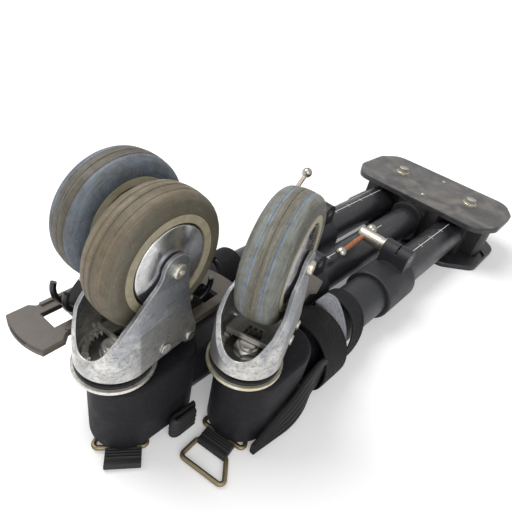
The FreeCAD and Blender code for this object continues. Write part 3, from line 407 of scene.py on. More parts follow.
def tyreRubber(name, spin, wheel):
    # Bands run round the wheel: dirt on the tread, the rubber's own tone at the shoulders
    look = tyreLook
    mat, place = startMaterial(name)
    axle = Vector(spin["axis"])
    ways = [along(mat, place, spin["pos_m"], way) for way in (axle, axle.cross(upright), upright)]
    ringPlace = addNode(mat, "ShaderNodeCombineXYZ")
    for socket, way, scale in zip(ringPlace.inputs, ways, look["ringScale"]):
        plug(mat, socket, times(mat, way, scale * mm))
    worn = noise(mat, ringPlace.outputs[0], 14, 7, 0.7, 0.5)
    cloud = noise(mat, place, 9, 6, 0.65, 0.6)
    grain = noise(mat, place, 0.8, 5, 0.7)
    scuff = noise(mat, stretched(mat, place, (1, 1, 0.35)), 1.6, 6, 0.7, 0.4)
    across = calc(mat, "ADD", ways[0], times(mat, calc(mat, "SUBTRACT", worn, 0.5), look["waver"]))
    bands = [(at, toned(wheel[tone], factor)) for at, tone, factor in wheel["bands"]]
    onTread = zone(mat, look, wallRadius=distance(mat, ways[1], ways[2]))
    colour = blendColour(mat, onTread, wheel["wall"], ramp(mat, span(mat, across, *look["tread"]), bands))
    colour = covered(mat, colour, (cloud, (0.44, 0.64, 0, 0.6), toned(wheel["dirt"], 0.64)),
                     (worn, (0.51, 0.64, 0, 0.5), toned(wheel["side"], 1.5)),
                     (worn, (0.47, 0.36, 0, 0.55), toned(wheel["dirt"], 0.55)),
                     (grain, (0.54, 0.66, 0, 0.5), toned(wheel["dirt"], 0.45)),
                     (scuff, (0.58, 0.67, 0, 0.45), toned(wheel["side"], 1.9)))
    height = calc(mat, "ADD", grain, times(mat, worn, 1.4))
    return coat(mat, colour, Roughness=span(mat, cloud, 0.3, 0.7, 0.5, 0.72), Normal=bump(mat, height, 0.12))


def mouldedPlastic(name, tone, dirt, rough, grain, soil):
    # Moulded surface with soil in patches and paler edges
    mat, place = startMaterial(name)
    rounded, edge = softEdge(mat, 0.7)
    cloud = noise(mat, place, 8, 6, 0.66, 0.7)
    fine = noise(mat, place, grain, 4, 0.6)
    colour = covered(mat, tone, (cloud, (0.44, 0.72, 0, soil), dirt),
                     (fine, (0.58, 0.74, 0, 0.35), toned(dirt, 0.6)),
                     (edge, (0, 1, 0, 0.5), toned(tone, 1.5)))
    return coat(mat, colour, Roughness=span(mat, cloud, 0.3, 0.7, rough - 0.06, rough + 0.12),
                Normal=bump(mat, fine, 0.08, rounded))


pedalLook = {"rough": 0.46, "gloss": 0.2, "leverHeight": (93.3, 93.8), "leverHalf": (11.4, 11.0),
             "leverBack": (58.6, 59.2), "windowHalf": (9.6, 9.1), "windowHeight": (93.0, 92.2),
             "crestBack": 64, "crestHalf": (1.3, 0.7), "crestHeight": (104, 109),
             "black": shade(17, 16, 18), "crest": shade(190, 188, 184)}


def pedalPlastic(name, side, tone, dirt):
    # Taupe foot pad that carries a glossy black release lever with a pale steel-bright strip across its
    # crest; the opening under the lever is painted black inside, a painted shade
    look = pedalLook
    mat = mouldedPlastic(name, tone, dirt, look["rough"], 0.6, 0.45)
    place = objectPlace(mat)
    axle = Vector(jointOf[side + "_wheel_spin"]["axis"])
    pivot = jointOf[side + "_caster_swivel"]["pos_m"]
    back = along(mat, place, pivot, (axle.y, -axle.x, 0))
    beside = calc(mat, "ABSOLUTE", along(mat, place, pivot, axle))
    tall = along(mat, place, (0, 0, 0), upright)
    fromCrest = calc(mat, "ABSOLUTE", calc(mat, "SUBTRACT", back, look["crestBack"]))
    lever = zone(mat, look, leverHeight=tall, leverHalf=beside, leverBack=back)
    # Painted shade: the inside of the opening under the lever is painted black
    windowShade = zone(mat, look, windowHalf=beside, windowHeight=tall)
    # A pale steel-bright strip across the lever's crest
    paleCrest = times(mat, lever, zone(mat, look, crestHalf=fromCrest, crestHeight=tall))
    colour = blendColour(mat, calc(mat, "MAXIMUM", lever, windowShade), baseOf(mat), look["black"])
    return coat(mat, blendColour(mat, paleCrest, colour, look["crest"]),
                Roughness=calc(mat, "SUBTRACT", look["rough"], times(mat, lever, look["gloss"])))


def webbingCloth(name, tone, fibre, yarn=2.3):
    # Plain weave in the band's own measure: u along the band, v across it, both in metres
    mat, place = startMaterial(name)
    parts = addNode(mat, "ShaderNodeSeparateXYZ")
    plug(mat, parts.inputs[0], addNode(mat, "ShaderNodeUVMap", uv_map="bandMeasure").outputs[0])
    waves = math.tau / (yarn * mm)
    run, cross = (calc(mat, "SINE", times(mat, parts.outputs[k], waves)) for k in (0, 1))
    fuzz = noise(mat, place, 0.5, 5, 0.75)
    cloud = noise(mat, place, 12, 5, 0.6, 0.6)
    height = calc(mat, "ADD", times(mat, run, cross), times(mat, fuzz, 0.8))
    # Painted shade: the weave's hollows are darkened to half the tone, while the yarn tops keep the full tone
    colour = covered(mat, toned(tone, 0.5), (height, (-0.4, 1.5), tone), (cloud, (0.5, 0.75, 0, 0.5), fibre),
                     (fuzz, (0.62, 0.78, 0, 0.5), toned(fibre, 1.4)))
    return coat(mat, colour, Roughness=0.86, Normal=bump(mat, height, 0.4), Sheen_Weight=0.05,
                Sheen_Roughness=0.5, Specular_IOR_Level=0.2)


paints["core"] = mouldedPlastic("coreCream", shade(160, 152, 128), shade(112, 102, 80), 0.5, 0.6, 0.5)
for side in sides:
    paints[side + "Pedal"] = pedalPlastic(side + "PedalPlastic", side, shade(84, 77, 69), shade(58, 53, 48))
paints["rubber"] = mouldedPlastic("blackRubber", shade(19, 19, 22), shade(50, 47, 45), 0.62, 0.5, 0.3)
paints["wire"] = brightSteel("wireFinish", shade(136, 124, 98), 0.36, 0.4)
paints["webbing"] = webbingCloth("webbingWeave", shade(25, 22, 26), shade(42, 38, 38))


# Mesh helpers. Lengths and profiles of (radius, lateral) are in millimetres, places in metres
onAxis = 0.01


def newPiece(name, mesh, material, body, slot, *replaced):
    piece = bpy.data.objects.new(name, mesh)
    bpy.context.scene.collection.objects.link(piece)
    mesh.materials.append(material)
    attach(piece, body)
    if replaced:
        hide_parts(*replaced)


def smoothMesh(name, verts, faces, sharpAngle=35):
    mesh = bpy.data.meshes.new(name)
    mesh.from_pydata([tuple(v) for v in verts], [], faces)
    mesh.validate()
    work = bmesh.new()
    work.from_mesh(mesh)
    bmesh.ops.recalc_face_normals(work, faces=work.faces)
    for face in work.faces:
        face.smooth = True
    for edge in work.edges:
        edge.smooth = len(edge.link_faces) == 2 and edge.calc_face_angle() < math.radians(sharpAngle)
    work.to_mesh(mesh)
    work.free()
    return mesh


def ringFaces(rings, size, closed=True):
    # Quads between neighbouring rings of size points; closed also joins the last ring to the first
    faces = []
    for i in range(rings if closed else rings - 1):
        here, after = i * size, (i + 1) % rings * size
        for j in range(size):
            k = (j + 1) % size
            faces.append((here + j, here + k, after + k, after + j))
    return faces


def mirrored(half):
    return [(radius, -lateral) for radius, lateral in reversed(half)]


def turned(name, profile, place, first, second, axle, steps, start=0.0):
    # Closed profile turned about the axle through place, from first towards second
    verts = []
    for i in range(steps):
        angle = math.tau * i / steps + start
        ray = first * math.cos(angle) + second * math.sin(angle)
        verts += [place + (ray * radius + axle * lateral) * mm for radius, lateral in profile]
    return smoothMesh(name, verts, ringFaces(steps, len(profile)))


def lathe(name, profile, hub, axle, steps):
    axle = Vector(axle).normalized()
    ahead = axle.cross(upright).normalized()
    return turned(name, profile, Vector(hub), ahead, ahead.cross(axle), axle, steps)


def uprightLathe(name, profile, place, steps, start=0.0):
    return turned(name, profile, place, Vector((1, 0, 0)), Vector((0, 1, 0)), upright, steps, start)


def arc(center, radius, start, end, steps):
    points = []
    for i in range(steps + 1):
        angle = math.radians(start + (end - start) * i / steps)
        points.append((center[0] + radius * math.cos(angle), center[1] + radius * math.sin(angle)))
    return points


# Wheels: tyre with shallow tread grooves, and the rim ring
tyreShape = {"radius": 50, "crown": 0.7, "shoulder": 9, "halfWidth": 15.8, "seat": 36.4, "seatHalf": 15.2,
             "grooves": (0.0, 6.0), "grooveHalf": 0.55, "grooveDepth": 0.5, "treadSteps": 34,
             "wallSteps": 9, "lipRise": 0.4, "lipWidth": 0.5, "turns": 180}


def tyreHalf(t):
    # Profile from the middle of the tread out to the seat, on the positive side
    shoulder = t["halfWidth"] - t["shoulder"]
    points = []
    for i in range(t["treadSteps"]):
        lateral = shoulder * i / t["treadSteps"]
        radius = t["radius"] - t["crown"] * (lateral / shoulder) ** 2
        for groove in t["grooves"]:
            near = abs(lateral - groove) / t["grooveHalf"]
            if near < 1:
                radius -= t["grooveDepth"] * math.cos(near * math.pi / 2)
        points.append((radius, lateral))
    points += arc((t["radius"] - t["crown"] - t["shoulder"], shoulder), t["shoulder"], 0, 90, 10)
    last = Vector(points[-1])
    end = Vector((t["seat"], t["seatHalf"]))
    for i in range(1, t["wallSteps"]):
        points.append(tuple(last.lerp(end, i / t["wallSteps"])))
    points.append((end.x + t["lipRise"], end.y - t["lipWidth"] / 10))
    points.append((end.x, end.y - t["lipWidth"]))
    return points


coreShape = {"seat": 36.3, "halfWidth": 15.1, "recess": 30.9, "web": 5.0, "hub": 15.0, "round": 0.7,
             "blend": 1.2, "turns": 144}


def coreProfile(c):
    r = c["round"]
    half = [(c["hub"], c["web"]), (c["recess"] - c["blend"], c["web"]), (c["recess"], c["web"] + c["blend"]),
            (c["recess"], c["halfWidth"] - r)]
    half += arc((c["recess"] + r, c["halfWidth"] - r), r, 180, 90, 4)[1:]
    half += arc((c["seat"] - r, c["halfWidth"] - r), r, 90, 0, 4)
    return half + mirrored(half)


tyreProfile = tyreHalf(tyreShape)
tyreProfile += mirrored(tyreProfile[1:])
for side in sides:
    spin = jointOf[side + "_wheel_spin"]
    rubber = tyreRubber(side + "TyreRubber", spin, wheelLooks[side])
    mesh = lathe(side + "TyreMesh", tyreProfile, spin["pos_m"], spin["axis"], tyreShape["turns"])
    newPiece(side + "Tyre", mesh, rubber, side + "_wheel", "grey_rubber", side + "_tyre")
    mesh = lathe(side + "CoreMesh", coreProfile(coreShape), spin["pos_m"], spin["axis"], coreShape["turns"])
    newPiece(side + "RimRing", mesh, paints["core"], side + "_wheel", "grey_plastic")
print("wheels built")


# White scale marks on the inner tubes: a line along the top and short ticks across it
scaleMarks = {"hubEnd": {"left": 58.9, "middle": 157.3, "right": 58.9}, "pitch": 32, "lineWidth": 0.9,
              "tickLength": 6.5, "tickWidth": 0.8, "lift": 0.06, "tickLift": 0.02, "under": 12}


def tubePatch(verts, faces, axis, radius, x0, x1, turn, stepsX, stepsA):
    # Patch on top of a tube from x0 to x1, in metres; turn is half its width as an angle
    start = len(verts)
    for i in range(stepsX + 1):
        x = x0 + (x1 - x0) * i / stepsX
        for j in range(stepsA + 1):
            angle = (2 * j / stepsA - 1) * turn
            verts.append(axis + Vector((x, radius * math.sin(angle), radius * math.cos(angle))))
    for i in range(stepsX):
        for j in range(stepsA):
            a = start + i * (stepsA + 1) + j
            faces.append((a, a + 1, a + stepsA + 2, a + stepsA + 1))


def markPaint(name, tone, worn):
    mat, place = startMaterial(name)
    wear = noise(mat, place, 1.6, 6, 0.7, 0.4)
    return coat(mat, covered(mat, tone, (wear, (0.5, 0.66, 0, 0.8), worn)), Roughness=0.55)


markWhite = markPaint("scaleWhite", shade(222, 220, 214), shade(120, 116, 110))
lineHalf, tickHalf, tickReach = (scaleMarks[key] * mm / 2 for key in ("lineWidth", "tickWidth", "tickLength"))
for side in sides:
    low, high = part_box(side + "_inner_tube")
    radius = (high.y - low.y) / 2 + scaleMarks["lift"] * mm
    axis = Vector((0, (high.y + low.y) / 2, (high.z + low.z) / 2))
    hubEnd = -scaleMarks["hubEnd"][side] * mm
    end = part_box(side + "_clamp_collar")[1].x - scaleMarks["under"] * mm
    verts, faces = [], []
    tubePatch(verts, faces, axis, radius, end, hubEnd, lineHalf / radius, 24, 2)
    tick = hubEnd - (scaleMarks["pitch"] - 1) * mm
    tickRadius = radius + scaleMarks["tickLift"] * mm
    while tick > end:
        tubePatch(verts, faces, axis, tickRadius, tick - tickHalf, tick + tickHalf, tickReach / radius, 1, 8)
        tick -= scaleMarks["pitch"] * mm
    mesh = smoothMesh(side + "ScaleMesh", verts, faces)
    body = "hub" if side == "middle" else side + "_leg"
    newPiece(side + "ScaleMarks", mesh, markWhite, body, "black_paint")
print("scale marks built")


# Axle hardware: two thread guards with rolled edges, the bolt head, the nut and the pedal's pin
axleShape = {"guard": 29.2, "guardBack": 13.3, "dome": 2.0, "sheet": 0.9, "lip": 0.8, "guardSteps": 12,
             "arm": 20.6, "head": 5.6, "headHeight": 3.6, "headEdge": 0.4, "headBevel": 1.2, "socket": 2.5,
             "socketDepth": 2.2, "rod": 5.0, "rodEdge": 0.5, "nutWidth": 13.0, "nutHeight": 4.0,
             "nutEdge": 0.8, "nutBevel": 0.7, "pinBack": 50.0, "pinHeight": 88.0, "pin": 3.0, "pinHead": 4.4,
             "pinHalf": 22.9, "pinRise": 1.4, "pinBevel": 1.0, "pinEdge": 0.6, "guardTurns": 120}


def guardProfile(a, way):
    # Sheet dish: domed outside, rolled lip at its edge, open at the back
    edge = a["guard"] - a["lip"]
    face = a["guardBack"] + a["lip"]
    outside = []
    for i in range(a["guardSteps"] + 1):
        radius = a["rod"] + (edge - a["lip"] - a["rod"]) * i / a["guardSteps"]
        outside.append((radius, face + a["lip"] + a["dome"] * (1 - (radius / edge) ** 2)))
    inside = [(radius, lateral - a["sheet"]) for radius, lateral in reversed(outside)]
    profile = outside + arc((edge, face), a["lip"], 80, -90, 8) + inside
    return [(radius, way * lateral) for radius, lateral in profile]


def boltProfile(a):
    outer = a["arm"] + a["headHeight"]
    return [(onAxis, -a["arm"]), (a["head"], -a["arm"]), (a["head"], -outer + a["headBevel"]),
            (a["head"] - a["headEdge"], -outer + a["headEdge"]), (a["head"] - a["headBevel"], -outer),
            (a["socket"], -outer), (a["socket"], -outer + a["socketDepth"]),
            (onAxis, -outer + a["socketDepth"])]


def nutProfile(a):
    corner = a["nutWidth"] / math.sqrt(3)
    outer = a["arm"] + a["nutHeight"]
    return [(onAxis, a["arm"]), (corner, a["arm"]), (corner, outer - a["nutEdge"]),
            (corner - a["nutBevel"], outer), (a["rod"], outer),
            (a["rod"] - a["rodEdge"], outer - a["rodEdge"]), (onAxis, outer - a["rodEdge"])]


def pinProfile(a):
    end = a["pinHalf"] + a["pinRise"]
    half = [(onAxis, end), (a["pinHead"] - a["pinBevel"], end), (a["pinHead"], end - a["pinEdge"]),
            (a["pinHead"], a["pinHalf"]), (a["pin"], a["pinHalf"])]
    return half + mirrored(half)


for side in sides:
    spin = jointOf[side + "_wheel_spin"]
    hub, axle = Vector(spin["pos_m"]), Vector(spin["axis"])
    swivel = Vector(jointOf[side + "_caster_swivel"]["pos_m"])
    trail = Vector((axle.y, -axle.x, 0))
    pinPlace = Vector((swivel.x, swivel.y, axleShape["pinHeight"] * mm)) + trail * axleShape["pinBack"] * mm
    body = side + "_caster"
    for name, way in (("OuterGuard", 1), ("InnerGuard", -1)):
        profile = guardProfile(axleShape, way)
        mesh = lathe(side + name + "Mesh", profile, hub, axle, axleShape["guardTurns"])
        replaced = [side + "_axle_set"] if way == 1 else []
        newPiece(side + name, mesh, paints["chrome"], body, "zinc_plate", *replaced)
    hardware = (("AxleHead", "HeadMesh", boltProfile, hub, 48), ("AxleNut", "NutMesh", nutProfile, hub, 6),
                ("PedalPin", "PinMesh", pinProfile, pinPlace, 40))
    for name, meshName, profile, place, steps in hardware:
        mesh = lathe(side + meshName, profile(axleShape), place, axle, steps)
        newPiece(side + name, mesh, paints["steel"], body, "zinc_plate")
print("axle hardware built")


# Webbing: flat woven bands wrapped round a leg tube, standing off where they are loose
webbingShape = {"tube": 24.0, "thickness": 1.8, "sag": 4.0, "curl": 0.9, "wave": 0.7, "curlBeat": (3, 5),
                "waveBeat": (5, 2.4), "driftBeat": (2, 1.3), "upwards": (0.35, 0.937), "perSpan": 22,
                "across": 14, "edgePower": 5, "outerFace": 0.3, "innerFace": -0.5}
bands = {
    "left": [{"start": 74, "width": 24, "bulge": 3, "rise": 18, "slant": 0},
             {"start": 99, "width": 9, "bulge": 1.5, "rise": 0, "slant": 0}],
    "right": [{"start": 76, "width": 33, "bulge": 12, "rise": 13, "slant": 0},
              {"start": 141.5, "width": 20, "bulge": 6, "rise": 3.2, "slant": 30}],
}


def closedCurve(points, perSpan):
    # Smooth closed curve that rounds off the corners of its control points
    count = len(points)
    curve = []
    for i in range(count):
        a, b, c, d = (Vector(points[(i + k - 1) % count]) for k in range(4))
        for j in range(perSpan):
            t = j / perSpan
            curve.append((a * (1 - t) ** 3 + b * (3 * t ** 3 - 6 * t ** 2 + 4)
                          + c * (-3 * t ** 3 + 3 * t ** 2 + 3 * t + 1) + d * t ** 3) / 6)
    return curve


def bandCourse(w, band):
    outer = w["tube"] + w["thickness"]
    right, top, low = -outer - band["bulge"], outer + band["rise"], -outer - w["sag"]
    return [(outer, -outer / 2), (outer, outer / 2), (outer / 2, top - band["rise"] / 3), (-outer / 2, top),
            (right, outer / 2), (right, -outer), (-outer / 2, low), (outer / 2, low)]


def beat(pair, turn, share):
    # Wave between 0 and 1 that runs along the band and shifts across it
    return (1 + math.sin(pair[0] * turn + pair[1] * share)) / 2


def webbingBand(name, w, band, origin):
    curve = closedCurve(bandCourse(w, band), w["perSpan"])
    count, across = len(curve), w["across"]
    verts, faces, measures = [], [], []
    upwards = Vector(w["upwards"])
    walked = [0.0]
    for i in range(count):
        walked.append(walked[-1] + (curve[(i + 1) % count] - curve[i]).length)
    for lift in (w["outerFace"] * w["thickness"], w["innerFace"] * w["thickness"]):
        for i in range(count):
            tangent = (curve[(i + 1) % count] - curve[i - 1]).normalized()
            outward = Vector((tangent.y, -tangent.x))
            if outward.dot(curve[i]) < 0:
                outward = -outward
            turn = math.tau * i / count
            hanging = 0.5 - 0.5 * curve[i].normalized().dot(upwards)
            drift = w["wave"] * math.sin(w["driftBeat"][0] * turn + w["driftBeat"][1])
            for j in range(across + 1):
                share = j / across
                edge = abs(2 * share - 1) ** w["edgePower"]
                curl = w["curl"] * edge * beat(w["curlBeat"], turn, share)
                wave = w["wave"] / 2 * (1 - edge) * beat(w["waveBeat"], turn, share)
                spot = curve[i] + outward * (lift + curl + wave)
                x = band["start"] + band["width"] * share + drift - band["slant"] * hanging
                verts.append(origin + Vector((x, spot.x, spot.y)) * mm)
                measures.append((walked[i] * mm, band["width"] * share * mm))
    row = across + 1
    inner = count * row
    for i in range(count):
        here, after = i * row, (i + 1) % count * row
        for j in range(across):
            a, b = here + j, after + j
            faces.append((a, a + 1, b + 1, b))
            faces.append((inner + a, inner + b, inner + b + 1, inner + a + 1))
        for j in (0, across):
            a, b = here + j, after + j
            faces.append((a, b, b + inner, a + inner))
    mesh = smoothMesh(name, verts, faces, 50)
    bandUv = mesh.uv_layers.new(name="bandMeasure")
    for loop in mesh.loops:
        bandUv.data[loop.index].uv = measures[loop.vertex_index]
    return mesh


for side, courses in bands.items():
    low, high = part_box(side + "_outer_tube")
    casterX = jointOf[side + "_caster_swivel"]["pos_m"][0]
    origin = Vector((casterX, (low.y + high.y) / 2, (low.z + high.z) / 2))
    for number, band in enumerate(courses):
        mesh = webbingBand(side + "BandMesh" + str(number), webbingShape, band, origin)
        replaced = [side + "_webbing"] if number == 0 else []
        newPiece(side + "Band" + str(number), mesh, paints["webbing"], side + "_slider", "black_webbing",
                 *replaced)
print("webbing built")


# Ribbed rubber strap: thin end at the casting's nose, along its side, up and over the tube.
# Its stations beside the casting and the tube are (back, stand-off, height, lean, width),
# and those over the tube are (back, lean, share of the turn towards the casting)
strapShape = {"thickness": 5.0, "side": 33.8, "reach": 29.4, "width": 22.0, "ribs": 5, "ribRise": 0.9,
              "ribRound": 0.7, "tail": 15.0,
              "besideCasting": [(-9, 0.0, 10, 0, 12), (10, 1.4, 17, -6, 26), (32, 2.6, 23, -8, 38),
                                (50, 1.2, 31, -6, 47)],
              "besideTube": [(66, 2.4, 35, 0, 44), (82, 1.4, 34, 0, 31)],
              "overTube": [(96, 0, 0.35), (109, -40, 0.7), (126, -88, 1.0)]}
strapGrid = {"steps": 12, "columns": 40, "backStep": 4, "edgePower": 8, "edgeThin": 0.45}


def strapFrame(x, y, z, lean, width, share=0.0):
    angle = math.radians(lean)
    side = Vector((0, math.cos(angle), math.sin(angle)))
    up = Vector((0, -math.sin(angle), math.cos(angle))) * (1 - share)
    return Vector((x, y, z)), side, (up + Vector((-1, 0, 0)) * share).normalized(), width


def strapStations(p, axisZ):
    stations = []
    for course, base in ((p["besideCasting"], p["side"]), (p["besideTube"], p["reach"])):
        for back, off, tall, lean, width in course:
            stations.append(strapFrame(back, -base - off, tall, lean, width))
    for back, lean, share in p["overTube"]:
        angle = math.radians(lean)
        y, z = -p["reach"] * math.cos(angle), axisZ - p["reach"] * math.sin(angle)
        stations.append(strapFrame(back, y, z, lean, p["width"], share))
    place, side, way, width = stations[-1]
    stations.append((place + Vector((p["thickness"] / 2, p["tail"], 0)), side, way, width))
    return stations


def catmull(a, b, c, d, t):
    cubic = (b * 3 - a - c * 3 + d) * t ** 3
    return (b * 2 + (c - a) * t + (a * 2 - b * 5 + c * 4 - d) * t ** 2 + cubic) * 0.5


def strapMesh(name, p, stations, origin):
    steps, columns = strapGrid["steps"], strapGrid["columns"]
    last = len(stations) - 1
    frames = []
    for i in range(last):
        four = [stations[max(0, min(last, i + k - 1))] for k in range(4)]
        for j in range(steps + (i == last - 1)):
            frames.append(tuple(catmull(*(station[k] for station in four), j / steps) for k in range(4)))
    around = [(k, True) for k in range(columns + 1)]
    around += [(k, False) for k in range(columns, -1, -strapGrid["backStep"])]
    verts = []
    for place, side, way, width in frames:
        side, way = side.normalized(), way.normalized()
        for k, ribbed in around:
            across = k / columns * 2 - 1
            depth = p["thickness"] / 2 * (1 - abs(across) ** strapGrid["edgePower"] * strapGrid["edgeThin"])
            if ribbed:
                rib = abs(math.sin(math.pi * p["ribs"] * (across + 1) / 2)) ** p["ribRound"] - 1
                depth = -depth - p["ribRise"] * rib
            verts.append(origin + (place + side * depth + way * across * width / 2) * mm)
    size = len(around)
    faces = ringFaces(len(frames), size, closed=False)
    faces.append(tuple(range(size)))
    faces.append(tuple(range(len(verts) - size, len(verts))))
    return smoothMesh(name, verts, faces, 40)


greyEndLook = {"back": (100, 112), "tone": shade(128, 129, 134), "gloss": 0.2}


def strapRubber(name):
    # Black rubber that turns grey on its top end, from 100 to 112 mm back
    mat = mouldedPlastic(name, shade(17, 17, 19), shade(52, 50, 49), 0.55, 0.5, 0.3)
    place = objectPlace(mat)
    cloud = noise(mat, place, 5, 5, 0.6, 0.5)
    top = zone(mat, greyEndLook, back=along(mat, place, jointOf["right_caster_swivel"]["pos_m"], (1, 0, 0)))
    colour = covered(mat, baseOf(mat), (cloud, (0.25, 0.5, 0.5, 0.95), greyEndLook["tone"], top))
    return coat(mat, colour, Specular_IOR_Level=greyEndLook["gloss"])


legLow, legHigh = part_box("right_outer_tube")
legOrigin = Vector((jointOf["right_caster_swivel"]["pos_m"][0], (legLow.y + legHigh.y) / 2, 0))
rightStations = strapStations(strapShape, (legLow.z + legHigh.z) / 2 / mm)
strapPiece = strapMesh("rightStrapMesh", strapShape, rightStations, legOrigin)
newPiece("rightStrap", strapPiece, strapRubber("strapRubber"), "right_slider", "black_rubber", "right_strap")


# The middle leg's strap is tucked away: a short length folded back on itself beside the casting
foldShape = {"thickness": 4.7, "ribs": 4, "ribRise": 0.7, "ribRound": 0.7, "turn": 5.0, "run": 8.0,
             "short": 3.0, "sag": 0.4}


def foldStations(p, low, high):
    tall, middle = high.z - low.z, (high.z + low.z) / 2
    inner, outer = high.y - p["thickness"] / 2, low.y + p["thickness"] / 2
    corner = low.x + p["turn"]
    inward, outward = Vector((0, -1, 0)), Vector((0, 1, 0))
    course = [(high.x, inner, 0, inward), (corner + p["run"], inner, 0, inward), (corner, inner, 0, inward),
              (low.x + p["thickness"] / 2, (inner + outer) / 2, 0, Vector((1, 0, 0))),
              (corner, outer, 0, outward), (corner + p["run"], outer, p["sag"], outward),
              (high.x - p["short"], outer + p["sag"], 2 * p["sag"], outward)]
    return [(Vector((x, y, middle - drop)), side, upright, tall) for x, y, drop, side in course]


foldLow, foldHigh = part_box("middle_strap")
middleStations = foldStations(foldShape, foldLow / mm, foldHigh / mm)
foldPiece = strapMesh("middleFoldMesh", foldShape, middleStations, Vector())
newPiece("middleFold", foldPiece, paints["rubber"], "middle_slider", "black_rubber", "middle_strap")
print("straps built")


# Screw barrels with their tommy bars
barShape = {"ball": 6.5, "spacing": 63.0, "rod": 2.85, "barrel": 7.7, "barrelLength": 31.8, "bevel": 1.2,
            "flange": 9.0, "flangeThickness": 2.4, "flangeEdge": 0.6, "neck": 0.5, "neckLength": 3.0,
            "tipEdge": 0.35, "tipRise": 0.2, "barTurns": 48, "barrelTurns": 64}


def barProfile(b):
    # Rod with a ball on each end, along its own axis
    half, ball = b["spacing"] / 2, b["ball"]
    neck = math.degrees(math.asin(b["rod"] / ball))
    end = [(max(onAxis, radius), half + reach) for reach, radius in arc((0, 0), ball, 0, 180 - neck, 20)]
    return end + mirrored(end)


def barrelProfile(b):
    # Turned barrel from its flange to its rounded tip; lateral 0 is the tip
    start, edge, radius = -b["barrelLength"], b["flangeEdge"], b["barrel"]
    foot = start - b["flangeThickness"]
    neckEnd = start + b["neckLength"]
    return [(onAxis, foot), (b["flange"] - edge, foot), (b["flange"], foot + edge),
            (b["flange"], start - edge), (b["flange"] - edge, start), (radius - b["neck"], start),
            (radius - b["neck"], neckEnd), (radius, neckEnd + edge), (radius, -b["bevel"]),
            (radius - b["tipEdge"], -b["tipEdge"]), (radius - b["bevel"], b["tipRise"]),
            (onAxis, b["tipRise"])]


for side in sides:
    low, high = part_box(side + "_tommy_bar")
    barMiddle, axle = (low + high) / 2, jointOf[side + "_bar_slide"]["axis"]
    mesh = lathe(side + "TommyBarMesh", barProfile(barShape), barMiddle, axle, barShape["barTurns"])
    newPiece(side + "TommyBar", mesh, paints[side + "Bar"], side + "_bar", "zinc_plate", side + "_tommy_bar")
    low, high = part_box(side + "_clamp_screw")
    outward = 1 if barMiddle.y > (low.y + high.y) / 2 else -1
    tip = Vector(((low.x + high.x) / 2, high.y if outward > 0 else low.y, (low.z + high.z) / 2))
    mesh = lathe(side + "BarrelMesh", barrelProfile(barShape), tip, (0, outward, 0), barShape["barrelTurns"])
    newPiece(side + "ScrewBarrel", mesh, paints["barrel"], side + "_screw", "zinc_plate")


# The hub's bolt heads, their washers and the two small pins
boltShape = {"washer": 10.0, "washerRise": 2.0, "washerEdge": 0.5, "head": 14.0, "headRise": 8.6,
             "bevel": 1.2, "sunk": 0.4, "crown": 0.3, "turn": {"left": 0.4, "right": 0.15}, "pin": 3.0,
             "pinRise": 1.5, "pinEdge": 0.5, "pinReach": {"frontPin": 40, "rearPin": -40},
             "washerTurns": 64, "pinTurns": 32}


def hexProfile(b):
    corner = b["head"] / math.sqrt(3)
    foot = b["washerRise"] - b["sunk"]
    return [(onAxis, foot), (corner, foot), (corner, b["headRise"] - b["bevel"] / 2),
            (corner - b["bevel"], b["headRise"]), (onAxis, b["headRise"] + b["crown"])]


def washerProfile(b):
    return [(onAxis, 0.0), (b["washer"], 0.0), (b["washer"], b["washerRise"] - b["washerEdge"]),
            (b["washer"] - b["washerEdge"], b["washerRise"]), (onAxis, b["washerRise"])]


def pinHeadProfile(b):
    return [(onAxis, -b["pinEdge"]), (b["pin"], -b["pinEdge"]), (b["pin"], b["pinEdge"]),
            (b["pin"] * 0.8, b["pinRise"] * 0.75), (b["pin"] * 0.4, b["pinRise"]), (onAxis, b["pinRise"])]


plateLow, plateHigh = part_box("hub_top_plate")
for side, turn in boltShape["turn"].items():
    pivot = jointOf[side + "_leg_swing"]["pos_m"]
    place = Vector((pivot[0], pivot[1], plateHigh.z))
    mesh = uprightLathe(side + "BoltHeadMesh", hexProfile(boltShape), place, 6, turn)
    newPiece(side + "BoltHead", mesh, paints["steel"], "hub", "zinc_plate")
    mesh = uprightLathe(side + "WasherMesh", washerProfile(boltShape), place, boltShape["washerTurns"])
    newPiece(side + "BoltWasher", mesh, paints["steel"], "hub", "zinc_plate")
for name, reach in boltShape["pinReach"].items():
    place = Vector(((plateLow.x + plateHigh.x) / 2 + reach * mm, 0, plateHigh.z))
    mesh = uprightLathe(name + "Mesh", pinHeadProfile(boltShape), place, boltShape["pinTurns"])
    newPiece(name, mesh, paints["steel"], "hub", "zinc_plate")
print("bars, barrels and bolt heads built")


# Rubber link at each foot and a wire hook at the left and right ones, in the anchor ring's own frame
linkShape = {"ringDepth": 20.0, "pitch": 14.0, "length": 27.0, "radius": 3.2, "mouth": 2.05, "ribs": 4,
             "ribRise": 1.6, "ribRound": 0.6, "ribSteps": 12, "webTop": 2.4, "webStart": 0.9, "bevel": 0.8,
             "inset": 0.24, "slide": {"left": 0.0, "middle": -2.8, "right": 0.0}}
hookShape = {"front": 42.0, "back": 28.0, "depth": 20.0, "shift": -5.0, "corner": 3.5, "wire": 2.0,
             "wireSides": 14, "cornerSteps": 8}


def ringFrame(side):
    joint = jointOf[side + "_ring_swing"]
    axle = Vector(joint["axis"]).normalized()
    if axle.y < 0:
        axle = -axle
    return Vector(joint["pos_m"]), Vector((axle.y, -axle.x, 0)), axle


